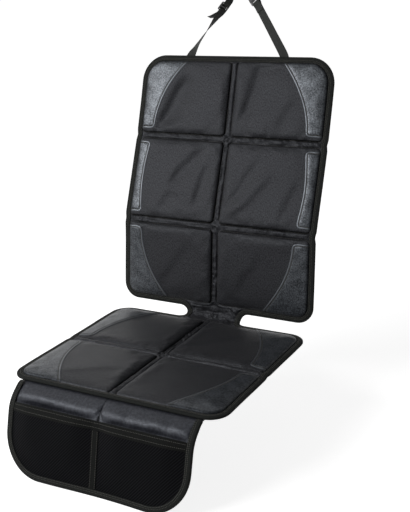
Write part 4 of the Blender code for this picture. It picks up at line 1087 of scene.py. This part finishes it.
class MAT_OT_cover(bpy.types.Operator):
    """Sew the quilted front cover"""

    bl_idname = "mat.cover"
    bl_label = "Front Cover"

    def execute(self, context):
        if not slack_field:
            settle_slack()
        outline = resampled(OUTLINE, 0.005)
        feet = [pad.ring(-PAD_SLOPE, 0.0034) for pad in PADS]
        kept = []
        for step, low, high in COVER_GRID:
            points = scatter(-HALF_WIDTH, HALF_WIDTH, 0.0, S_TOP, step)
            depth = pad_depth(*points.T)
            points = points[(depth > low) & (depth <= high) & (abs(depth + PAD_SLOPE) > 0.0012)]
            kept.append(kept_inside(points, outline, 0.0085))
        flat, faces = cut(outline, feet, np.concatenate(kept))
        x, s = flat.T
        rise, depth = cover_rise(x, s), pad_depth(x, s)
        # Painted shade: the "seam" value darkens the cloth along the pads' seams. It is full on the sides
        # that face away from the light (beside each crease, the edge of the pad further up the mat; beside
        # the middle channel, the edge of the left pads) and faint on the others.
        above = np.any([(s > c) & (s < c + SEAM_SHADE) for c in CREASES], axis=0)
        shaded = np.where(abs(x) < SEAM_SHADE, x < 0, above)
        seam = hump(depth, -PAD_SLOPE, 0.0018) * np.where(shaded, 1.0, 0.15)
        seam *= gap_to(flat, OUTLINE) > 0.010
        cover = add_sheet(
            "quilted_cover", flat, faces, on_mat, COVER_BASE + rise, COVER_TOP + rise, finish_for("oxford"),
            values={"seam": seam},
        )
        settle(cover, "oxford", "front_cover")

        pitch = context.scene.mat_sewing.stitch_pitch
        rings = [pad.ring(-PAD_SLOPE - 0.0004, 0.003) for pad in PADS]
        sew("quilting_stitches", [stitch_row(r, True, on_mat, cover_top, pitch) for r in rings])
        return {"FINISHED"}


class MAT_OT_backing(bpy.types.Operator):
    """Lay the anti-slip backing and the foam pads on it"""

    bl_idname = "mat.backing"
    bl_label = "Backing and Foam"

    def execute(self, context):
        outline = resampled(OUTLINE, 0.006)
        points = scatter(-HALF_WIDTH, HALF_WIDTH, 0.0, S_TOP, 0.009)
        points = kept_inside(points, outline, 0.004)
        feet = [pad.ring(-PAD_SLOPE, 0.008) for pad in PADS]
        near = np.min([gap_to(points, foot) for foot in feet], axis=0)
        flat, faces = cut(outline, feet, points[near > 0.003])
        seam = np.min([gap_to(flat, foot) for foot in feet], axis=0)
        sunk = 0.0004 * hump(seam, 0, 0.004) * (seam < 0.02)
        backing = add_sheet("backing_cloth", flat, faces, on_mat, sunk, BACKING, finish_for("backing"))
        settle(backing, "backing", "anti_slip_backing")

        for pad in PADS:
            ring = pad.ring(0.0006, 0.006)
            points = kept_inside(scatter(*box_of(ring), 0.0075), ring, 0.003)
            flat, faces = cut(ring, [], points)
            lift = np.minimum(puff(pad.depth(*flat.T)), cover_rise(*flat.T))
            high = COVER_BASE + np.maximum(0.9 * lift - 0.0008, 0.0006)
            name = pad.name.replace("foam_pad", "foam")
            foam = add_sheet(name, flat, faces, on_mat, COVER_BASE, high, finish_for("foam"))
            settle(foam, "foam", pad.name)
        return {"FINISHED"}


class MAT_OT_patches(bpy.types.Operator):
    """Sew on the grey wear patches"""

    bl_idname = "mat.patches"
    bl_label = "Wear Patches"

    def execute(self, context):
        pitch, rows = context.scene.mat_sewing.stitch_pitch * 0.9, []
        for name, loop, sewn in patches():
            seam = loop[:sewn]
            line = resampled(loop, 0.003)
            area = sum(x0 * s1 - x1 * s0 for (x0, s0), (x1, s1) in zip(line, np.roll(line, -1, 0)))
            line = line if area > 0 else line[::-1]
            steps = (0.0010, 0.0024, 0.0036, PATCH_STITCH, 0.0055)
            rings = [inset(line, d) for d in steps]
            rings = [r[within(r, line)] for r in rings]
            rings = [r[gap_to(r, line) > d * 0.8] for r, d in zip(rings, steps)]
            points = kept_inside(scatter(*box_of(line), 0.003), line, 0.0068)
            flat, faces = cut(line, [], np.concatenate([*rings, points]))
            gap = gap_to(flat, seam, closed=False)
            under = cover_top(*flat.T)
            to_tape = gap_to(flat, loop[sewn - 1:] + loop[:1], closed=False)
            piece = add_sheet(
                name.replace("patch", "wear_patch"), flat, faces, on_mat, under + 0.0001,
                under + patch_top(gap), finish_for("patch"),
                values={"from_edge": gap, "from_tape": to_tape},
            )
            settle(piece, "patch", name)
            wide, long = np.ptp(line[:, 0]), np.ptp(line[:, 1])
            run = resampled(seam, 0.002, closed=False)
            right, _ = normals(run, closed=False)
            inner = np.where(within(run + right * 0.003, line), 1, -1)[:, None]
            inward = run + right * PATCH_STITCH * inner
            inward = inward[(abs(inward[:, 0]) < PATCH_SIDE - 0.001) & within(inward, line)]
            rows.append(stitch_row(inward, False, on_mat, patch_face, pitch))
        sew("patch_stitches", rows)
        return {"FINISHED"}


class MAT_OT_edge_tape(bpy.types.Operator):
    """Fold the tape over the mat's edge and sew it down"""

    bl_idname = "mat.edge_tape"
    bl_label = "Edge Tape"

    def execute(self, context):
        pitch, rows = context.scene.mat_sewing.stitch_pitch, []
        tape = add_tape("edge_tape", resampled(OUTLINE, 0.004), True, on_mat, 0.0, COVER_TOP)
        settle(tape, "tape", "edge_binding")
        for inward, rise in STITCH_LINES:
            row = inset(resampled(OUTLINE, 0.003), inward)
            top = COVER_TOP + CLEARANCE + rise * TAPE + 0.0002
            rows += [stitch_row(row, True, on_mat, h, pitch) for h in (top, -CLEARANCE - TAPE)]
        sew("edge_stitches", rows)
        return {"FINISHED"}


def flap_outline():
    w, r = FLAP_WIDTH / 2, FLAP_RADIUS
    right = [(w, s) for s in np.linspace(0, FLAP_END - r, 24)] + arc(w - r, FLAP_END - r, r, 0, 90, 20)[1:]
    return right + [(-x, s) for x, s in reversed(right)]


def flap_depth(x, r):
    dx, dr = FLAP_WIDTH / 2 - abs(x), FLAP_END - r
    corner = FLAP_RADIUS - np.hypot(np.maximum(FLAP_RADIUS - dx, 0), np.maximum(FLAP_RADIUS - dr, 0))
    return np.where((dx < FLAP_RADIUS) & (dr < FLAP_RADIUS), corner, np.minimum(dx, dr))


def flap_puff(x, r):
    """The stuffed band above the pockets: two loose bulges that meet at a sewn split."""
    down = np.clip((r - FLAP_TUCK - 0.006) / (HEM_TOP - 0.002 - FLAP_TUCK - 0.006), 0, 1)
    split = 0.0012 + 0.0060 * hump(down, 0.92, 0.22)
    share = np.clip((abs(x) - split) / (NET_SIDE - CLEARANCE - split), 0, 1)
    across = np.sin(math.pi * share) ** 0.28
    along = np.sin(math.pi * down ** 1.7)
    lobes = 1 - 0.35 * hump(x, 0.062, 0.012) - 0.3 * hump(x, 0.150, 0.014) - 0.12 * hump(x, -0.075, 0.02)
    loose = 1 + 0.22 * noise(x / 0.045, r / 0.03, 41)
    creases = 0.0008 * noise(x / 0.012, r / 0.03, 42) * hump(down, 0.95, 0.3) * (share > 0)
    return BAND_PUFF * across * along * lobes * loose + creases * across


def ease(share):
    return np.sin(math.pi / 2 * np.clip(share, 0.0, 1.0))


def net_height(x, r):
    share = np.clip((r - HEM_TOP) / (FLAP_END - BINDING - HEM_TOP), 0, 1)
    edge = ease((flap_depth(x, r) - BINDING - NET_SEAM) / NET_EASE)
    centre = ease((abs(x) - DIVIDER / 2 - NET_SEAM) / NET_EASE)
    return NET_BASE + NET_GAPE * edge * centre * (1 - share * share)


def on_flap(x, r, t):
    """The flap's own slow wave, which grows towards its hanging end."""
    loose = ramp(r, HEM_TOP, FLAP_END)
    return FLAP.at(x, r, t + loose * 0.0035 * (np.sin((x - 0.11) / 0.052) - 0.6))


def hem_face(x, r):
    """The front of the net's own tapes."""
    return net_height(x, r) + NET + CLEARANCE + HEM_TAPE


def fanned(line, start, above=0.0):
    """The part of a line beyond a start, in order from the right round to the left."""
    line = line[line[:, 1] > start + above]
    return line[np.argsort(np.arctan2(line[:, 0], line[:, 1] - start))][::-1]


# The hem's section: distances down the net, and shares of the tape's thickness beyond the net's
# front (above 0) or back (below 0), where 0.1 and -0.1 are its inner faces
HEM_SECTION = [
    (HEM_WIDTH, 0.4), (HEM_WIDTH - 0.0006, 1), (0.0105, 1), (0.007, 1.25), (0.0032, 1), (0.001, 1.1),
    (-0.0004, 0.9), (-0.0010, 0.5), (-0.0004, -0.9), (0.001, -1), (0.007, -1), (HEM_WIDTH, -1),
    (HEM_WIDTH, -0.1), (0.007, -0.1), (-0.0002, -0.1), (-0.0002, 0.1), (0.007, 0.1), (HEM_WIDTH, 0.1),
]


def add_hem(name, line):
    """The tape folded over the net's mouth, with both its legs following the net."""
    down, share = np.array(HEM_SECTION).T
    round_it = np.concatenate([[0], np.cumsum(abs(np.diff(down)))])
    beyond = np.where(abs(share) > 0.3, share * HEM_TAPE, 0)
    rings, uvs = [], []
    for (x, s), along in zip(line, walked(line)):
        net = net_height(x, s + np.maximum(down, 0))
        h = np.where(share > 0, net + NET + CLEARANCE, net - CLEARANCE) + beyond
        h[7] = (h[6] + h[8]) / 2
        h[14], h[15] = h[13], h[16]
        rings.append(on_flap(np.full(len(down), x), s + down, h))
        uvs.append(np.stack([round_it, np.full(len(down), along)], axis=1))
    uvs = np.array(uvs).reshape(-1, 2)
    return add_sweep(name, np.array(rings), False, finish_for("hem"), uvs)


class MAT_OT_flap(bpy.types.Operator):
    """Sew the pocket flap: its panel, net, hem tape, centre tape and edge tape"""

    bl_idname = "mat.flap"
    bl_label = "Pocket Flap"

    def execute(self, context):
        half_flap, rows = FLAP_WIDTH / 2, []
        outline = resampled(flap_outline(), 0.004)
        band = scatter(-half_flap, half_flap, 0.0, HEM_TOP, 0.003)
        rest = scatter(-half_flap, half_flap, HEM_TOP + 0.004, FLAP_END, 0.008)
        points = kept_inside(np.concatenate([band, rest]), outline, 0.0025)
        flat, faces = cut(outline, [], points)
        # Painted shade: the "seam" value marks the crease at the centre split between the two bulges, widest
        # just above the hem, and the satin is darkened there.
        notch = 0.0012 + 0.0030 * hump(flat[:, 1], HEM_TOP - 0.004, 0.007)
        split = hump(flat[:, 0] + 0.0004 * np.sin(flat[:, 1] * 400), 0, notch)
        panel = add_sheet(
            "flap_cloth", flat, faces, on_flap, 0.0, FLAP_THICKNESS + flap_puff(*flat.T),
            finish_for("satin"), flip=True, values={"seam": split},
        )
        settle(panel, "satin", "flap_panel")

        top = HEM_TOP + CLEARANCE
        edge = fanned(inset(outline, BINDING * 0.35), top, 0.003)
        brim = edge[0][0]
        mouth = [(x, top) for x in np.arange(-brim, brim + 1e-6, 2 * brim / 100)]
        pocket = [tuple(p) for p in edge] + mouth
        points = kept_inside(scatter(-brim, brim, top, FLAP_END, 0.0055), pocket, 0.003)
        flat, faces = cut(pocket, [], points)
        low = net_height(*flat.T)
        net = add_sheet(
            "pocket_mesh", flat, faces, on_flap, low, low + NET, finish_for("net"), flip=True
        )
        settle(net, "net", "pocket_net")

        side = NET_SIDE - CLEARANCE
        hem_tape = add_hem("hem_tape", np.array([(x, top) for x in np.linspace(side, -side, 130)]))
        settle(hem_tape, "tape", "pocket_hem_tape")

        half = DIVIDER / 2
        start, end = top + HEM_WIDTH + CLEARANCE, FLAP_END - BINDING - CLEARANCE
        strip = resampled([(half, start), (half, end), (-half, end), (-half, start)], 0.003)
        points = kept_inside(scatter(-half, half, start, end, 0.003), strip, 0.0015)
        flat, faces = cut(strip, [], points)
        low = net_height(*flat.T) + NET + CLEARANCE
        high = low + HEM_TAPE + 0.0003 * (1 - (flat[:, 0] / half) ** 2)
        divider = add_sheet(
            "divider_tape", flat, faces, on_flap, low, high, finish_for("hem"), flip=True
        )
        settle(divider, "tape", "pocket_divider_tape")

        tucked = FLAP_TUCK + 0.005
        line = [tuple(p) for p in fanned(outline, tucked)]
        line = resampled([(half_flap, tucked), *line, (-half_flap, tucked)], 0.004, closed=False)
        tape = add_tape("flap_edge_tape", line, False, on_flap, 0.0, NET_BASE + NET)
        settle(tape, "tape", "flap_binding")

        pitch, (right, _) = context.scene.mat_sewing.stitch_pitch, normals(line, closed=False)
        high = NET_BASE + NET + CLEARANCE + 1.2 * TAPE
        for inward, _ in STITCH_LINES:
            rows.append(stitch_row(line - right * inward, False, on_flap, high, pitch))
        for down in (0.0032, 0.0105):
            row = np.array([(x, top + down) for x in np.linspace(-side + 0.003, side - 0.003, 80)])
            rows.append(stitch_row(row, False, on_flap, hem_face, pitch))
        for x in (-half + 0.0016, half - 0.0016):
            row = np.array([(x, r) for r in np.linspace(top + HEM_WIDTH + 0.003, end - 0.003, 40)])
            rows.append(stitch_row(row, False, on_flap, hem_face, pitch))
        sew("flap_stitches", rows)
        return {"FINISHED"}


def strap_plane(point):
    x, v, w = point
    return Vector(MAT.at(x, S_TOP + v, w))


PLANE = Matrix([
    strap_plane(axis) - strap_plane((0.0, 0.0, 0.0)) for axis in np.eye(3).tolist()
]).transposed()


def smooth(points, steps=40):
    ends, out = [points[0], *points, points[-1]], []
    for a, b, c, d in zip(ends, ends[1:], ends[2:], ends[3:]):
        for i in range(steps):
            u = i / steps
            out.append(tuple(
                q + u * ((r - p) + u * ((2 * p - 5 * q + 4 * r - s) + u * (3 * (q - r) + s - p))) / 2
                for p, q, r, s in zip(a, b, c, d)
            ))
    return out + [tuple(points[-1])]


class Track:
    """A strap's centre line in the strap plane, with the webbing's turn along it."""

    def __init__(self, points):
        self.points = np.array(smooth(points))
        self.lengths = walked(self.points[:, :3])
        self.length = float(self.lengths[-1])

    def values(self, distance):
        place = [float(np.interp(distance, self.lengths, self.points[:, k])) for k in range(4)]
        return Vector(place[:3]), math.radians(place[3])

    def nearest(self, point):
        return float(self.lengths[np.linalg.norm(self.points[:, :3] - np.array(point), axis=1).argmin()])

    def frame(self, distance):
        centre, turn = self.values(distance)
        ahead = (self.values(distance + 5e-4)[0] - self.values(distance - 5e-4)[0]).normalized()
        level = Vector((ahead.y, -ahead.x, 0.0)).normalized()
        across = level * math.cos(turn) + Vector((0.0, 0.0, 1.0)) * math.sin(turn)
        across = (across - ahead * across.dot(ahead)).normalized()
        return centre, ahead, across, across.cross(ahead)


def stations_of(track, distances, offset):
    places = []
    for d in distances:
        centre, _, across, out = track.frame(d)
        places.append((centre + out * offset(d), across))
    stations = []
    for i, (place, across) in enumerate(places):
        after, before = places[min(i + 1, len(places) - 1)][0], places[max(i - 1, 0)][0]
        stations.append((place, across, across.cross(after - before).normalized()))
    return stations


def loop_spread(gap):
    share = min(max(gap / 0.013, 0.0), 1.0)
    return LAYER_OFFSET / 2 + (LOOP_SPREAD - LAYER_OFFSET / 2) * (1 - smooth_step(share))


def turn_round(centre, ahead, across, out):
    stations = []
    for i in range(1, 12):
        a = math.pi * i / 12
        normal = out * math.cos(a) - ahead * math.sin(a)
        stations.append((centre - normal * LOOP_SPREAD, across, normal))
    return stations


def swing(distance):
    """How far the webbing swings off its line as it threads the slider."""
    near, far = SLIDER_CENTRE_BAR / 2, SLIDER_LENGTH / 2 - SLIDER_BAR
    d, end = abs(distance), SLIDER_LENGTH / 2 + 0.001
    if d <= near:
        return WEAVE
    if d < far:
        return WEAVE * math.cos(math.pi * (d - near) / (far - near))
    if d < end:
        return -WEAVE
    share = min((d - end) / 0.018, 1.0)
    return -WEAVE * (1 - smooth_step(share))


def spaced(start, end, step):
    count = max(1, math.ceil(abs(end - start) / step))
    return [start + (end - start) * i / count for i in range(count + 1)]


def add_strap(name, stations, finish):
    """Webbing with soft edges, swept through stations of (centre, across, out) in the strap plane."""
    w, t = WEBBING / 2, WEBBING_THICKNESS / 2
    section = [
        (w, 0.35 * t), (w - 0.0004, 0.85 * t), (w - 0.0014, t), (0.3 * w, 0.94 * t), (-0.3 * w, 0.94 * t),
        (-w + 0.0014, t), (-w + 0.0004, 0.85 * t), (-w, 0.35 * t),
    ]
    section += [(a, -b) for a, b in reversed(section)]
    rings, uvs, along, last = [], [], 0.0, None
    round_it = walked(np.array(section))
    for centre, across, out in stations:
        place, a, o = strap_plane(centre), PLANE @ across, PLANE @ out
        along += (place - last).length if last is not None else 0.0
        last = place
        rings.append([tuple(place + a * x + o * y) for x, y in section])
        uvs.append(np.stack([round_it, np.full(len(section), along)], axis=1))
    return add_sweep(name, np.array(rings), False, finish, np.array(uvs).reshape(-1, 2)), along


class MAT_OT_straps(bpy.types.Operator):
    """Thread the two webbing straps through the slider and the buckle"""

    bl_idname = "mat.straps"
    bl_label = "Straps"

    def execute(self, context):
        webbing = finish_for("webbing")
        heading = Vector((math.cos(BUCKLE_HEADING), math.sin(BUCKLE_HEADING), 0.0))
        socket_bar = Vector((*BUCKLE_AT, 0.0))
        prong_bar = socket_bar + heading * PRONG_BAR_REACH

        right = Track([*RIGHT_STRAP, (*socket_bar, BUCKLE_TURN)])
        end = right.length
        up = spaced(0.0, end - 0.014, 0.003) + spaced(end - 0.014, end, 0.0015)[1:]
        line = stations_of(right, up, lambda d: 0.0)
        main = [(c - o * loop_spread(right.length - d), a, o) for (c, a, o), d in zip(line, up)]
        back = [
            (c + o * loop_spread(right.length - d), a, -o)
            for (c, a, o), d in zip(reversed(line), reversed(up)) if d > right.length - FOLD_BACK
        ]
        line = main + turn_round(*right.frame(end)) + back
        strap, length = add_strap("right_strap", line, webbing)
        settle(strap, "webbing", "strap_right")

        top = LOOP_HEIGHT - LOOP_RADIUS
        arch = [
            (LOOP_X - LOOP_RADIUS * math.cos(a), top + LOOP_RADIUS * math.sin(a), 0.0, 96 + 4 * a)
            for a in (math.pi * i / 6 for i in range(7))
        ]
        approach, final = prong_bar + heading * 0.012, 180 - BUCKLE_TURN
        slider_line = Vector((math.cos(SLIDER_HEADING), math.sin(SLIDER_HEADING), 0.0))
        slider = Vector((*SLIDER_AT, 0.0))
        threaded = [(*(slider + slider_line * d), SLIDER_TURN) for d in (-0.013, 0.0, 0.013)]
        left = Track([
            *LEFT_STRAP, *threaded, *LEFT_LOOP, *arch, *RIGHT_LOOP,
            (*approach, final - 8), (*prong_bar, final),
        ])
        middle, end = left.nearest(slider), left.length
        near, far = middle - SLIDER_LENGTH / 2 - 0.002, middle + SLIDER_LENGTH / 2 + 0.002
        up = spaced(0.0, near, 0.003) + spaced(near, far, 0.0006)[1:]
        up += spaced(far, end - 0.014, 0.003)[1:] + spaced(end - 0.014, end, 0.0015)[1:]
        line = stations_of(left, up, lambda d: swing(d - middle))
        main = [(c - o * loop_spread(end - d), a, o) for (c, a, o), d in zip(line, up)]
        tail, back = middle - TAIL_LENGTH, []
        for (c, a, o), d in zip(reversed(line), reversed(up)):
            if d < tail:
                break
            lift = min(max((near - d) / (near - tail), 0.0), 1.0)
            back.append((c + o * (loop_spread(end - d) + TAIL_SPREAD * lift ** 1.6), a, -o))
        strap, length = add_strap("left_strap", main + turn_round(*left.frame(end)) + back, webbing)
        settle(strap, "webbing", "strap_left")
        return {"FINISHED"}


class MAT_OT_hardware(bpy.types.Operator):
    """Give the slider and the buckle their moulded finish"""

    bl_idname = "mat.hardware"
    bl_label = "Slider and Buckle"

    def execute(self, context):
        for name in ("strap_slider", "buckle_socket", "buckle_prongs"):
            for slot in bpy.data.objects[name].material_slots:
                slot.material = finish_for("plastic")
        return {"FINISHED"}


CAMERA_AT = (0.9418, -1.5104, 0.7934)
CAMERA_TURN = (29.008, 15.431, -2.278)
CAMERA_SHIFT = (0.0079, -0.0789)
LAMP_AIM = (0, 0.1, 0.2)
FLOOR_SIZE, FLOOR_GAP, FLOOR_GLOW = 160.0, 0.002, (0.86, 0.97)


def looked_at(tree):
    """1 for the rays of the camera, of mirrors and of glass, and 0 for those that carry light."""
    path, seen = tree.nodes.new("ShaderNodeLightPath"), None
    for ray in ("Is Camera Ray", "Is Glossy Ray", "Is Transmission Ray"):
        output = path.outputs[ray]
        if seen is not None:
            either = tree.nodes.new("ShaderNodeMath")
            either.operation = "MAXIMUM"
            tree.links.new(seen, either.inputs[0])
            tree.links.new(output, either.inputs[1])
            output = either.outputs[0]
        seen = output
    return seen


def white_backdrop(name, lit):
    """A pale surface that the camera and reflections see as white, with its shadows kept."""
    f = Finish(name, (0.55, 0.55, 0.55), 0.9, Specular_IOR_Level=0.0)
    apart = f.add("ShaderNodeVectorMath", {"operation": "LENGTH"}, _0=f.place()).outputs["Value"]
    lit = f.spread(apart, 1.0, 4.0, *lit)
    glow = f.math("MULTIPLY", looked_at(f.tree), lit)
    f.tree.links.new(glow, f.shader.inputs["Emission Strength"])
    f.shader.inputs["Emission Color"].default_value = (1, 1, 1, 1)
    return f.made


def add_lamp(name, direction, distance, size, power):
    """A rectangular lamp that faces the mat from a direction."""
    data = bpy.data.lights.new(name, "AREA")
    data.shape, data.size, data.size_y = "RECTANGLE", size[0], size[1]
    data.energy = power
    lamp = bpy.data.objects.new(name, data)
    bpy.context.scene.collection.objects.link(lamp)
    direction = Vector(direction).normalized()
    lamp.location = Vector(LAMP_AIM) + direction * distance
    lamp.rotation_euler = direction.to_track_quat("Z", "Y").to_euler()


class MAT_OT_studio(bpy.types.Operator):
    """Set up the floor, the lamps and the camera"""

    bl_idname = "mat.studio"
    bl_label = "Studio"

    def execute(self, context):
        scene, studio = context.scene, context.scene.mat_studio
        floor_z = CAD_BOX[0][2] - FLOOR_GAP
        bpy.ops.object.select_all(action="DESELECT")
        bpy.ops.mesh.primitive_plane_add(size=FLOOR_SIZE, location=(0, 0, 0))
        floor = context.object
        floor.name = "floor"
        for v in floor.data.vertices:
            v.co.z = floor_z
        floor.data.materials.append(white_backdrop("floor_white", FLOOR_GLOW))

        world = scene.world or bpy.data.worlds.new("room")
        scene.world = world
        world.use_nodes = True
        room = world.node_tree.nodes["Background"]
        room.inputs["Color"].default_value = (1, 1, 1, 1)
        links = world.node_tree.links
        level = world.node_tree.nodes.new("ShaderNodeMapRange")
        level.inputs["To Min"].default_value = studio.world_strength
        level.inputs["To Max"].default_value = 1.0
        links.new(looked_at(world.node_tree), level.inputs["Value"])
        links.new(level.outputs["Result"], room.inputs["Strength"])

        add_lamp("key", (-0.557, -0.663, 0.50), 2.3, (1.9, 0.9), studio.key_power)
        add_lamp("back", (-0.430, 0.822, 0.375), 2.2, (2.4, 0.6), studio.back_power)

        cam = bpy.data.cameras.new("camera")
        camera = bpy.data.objects.new("camera", cam)
        scene.collection.objects.link(camera)
        scene.camera = camera
        azimuth, elevation, roll = (math.radians(a) for a in CAMERA_TURN)
        back = Vector((
            math.sin(azimuth) * math.cos(elevation), -math.cos(azimuth) * math.cos(elevation),
            math.sin(elevation),
        ))
        side = Vector((math.cos(azimuth), math.sin(azimuth), 0.0))
        above = back.cross(side)
        c, s = math.cos(roll), math.sin(roll)
        side, above = side * c + above * s, above * c - side * s
        camera.matrix_world = Matrix((
            (side.x, above.x, back.x, CAMERA_AT[0]), (side.y, above.y, back.y, CAMERA_AT[1]),
            (side.z, above.z, back.z, CAMERA_AT[2]), (0, 0, 0, 1),
        ))
        cam.sensor_width, cam.lens = 36.0, studio.lens
        cam.shift_x, cam.shift_y = CAMERA_SHIFT
        cam.clip_start, cam.clip_end = 0.05, 60.0
        scene.view_settings.view_transform = "Standard"
        return {"FINISHED"}


class MAT_PT_panel(bpy.types.Panel):
    bl_label = "Seat Protector Mat"
    bl_idname = "MAT_PT_panel"
    bl_space_type = "VIEW_3D"
    bl_region_type = "UI"
    bl_category = "Seat Mat"

    def draw(self, context):
        for label, group in (("Colours", "mat_colours"), ("Sewing", "mat_sewing"), ("Studio", "mat_studio")):
            box = self.layout.box()
            box.label(text=label)
            settings = getattr(context.scene, group)
            for key in settings.__annotations__:
                box.prop(settings, key)
        for operator in OPERATORS:
            self.layout.operator(operator.bl_idname)


OPERATORS = [
    MAT_OT_cover, MAT_OT_backing, MAT_OT_patches, MAT_OT_edge_tape, MAT_OT_flap, MAT_OT_straps,
    MAT_OT_hardware, MAT_OT_studio,
]
CLASSES = [MatColours, MatSewing, StudioSettings, *OPERATORS, MAT_PT_panel]


def register():
    for cls in CLASSES:
        bpy.utils.register_class(cls)
    bpy.types.Scene.mat_colours = PointerProperty(type=MatColours)
    bpy.types.Scene.mat_sewing = PointerProperty(type=MatSewing)
    bpy.types.Scene.mat_studio = PointerProperty(type=StudioSettings)


def unregister():
    for name in ("mat_colours", "mat_sewing", "mat_studio"):
        delattr(bpy.types.Scene, name)
    for cls in reversed(CLASSES):
        bpy.utils.unregister_class(cls)


def main():
    register()
    bpy.ops.mat.cover()
    bpy.ops.mat.backing()
    bpy.ops.mat.patches()
    bpy.ops.mat.edge_tape()
    bpy.ops.mat.flap()
    bpy.ops.mat.straps()
    bpy.ops.mat.hardware()
    bpy.ops.mat.studio()
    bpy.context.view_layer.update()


if __name__ == "__main__":
    main()
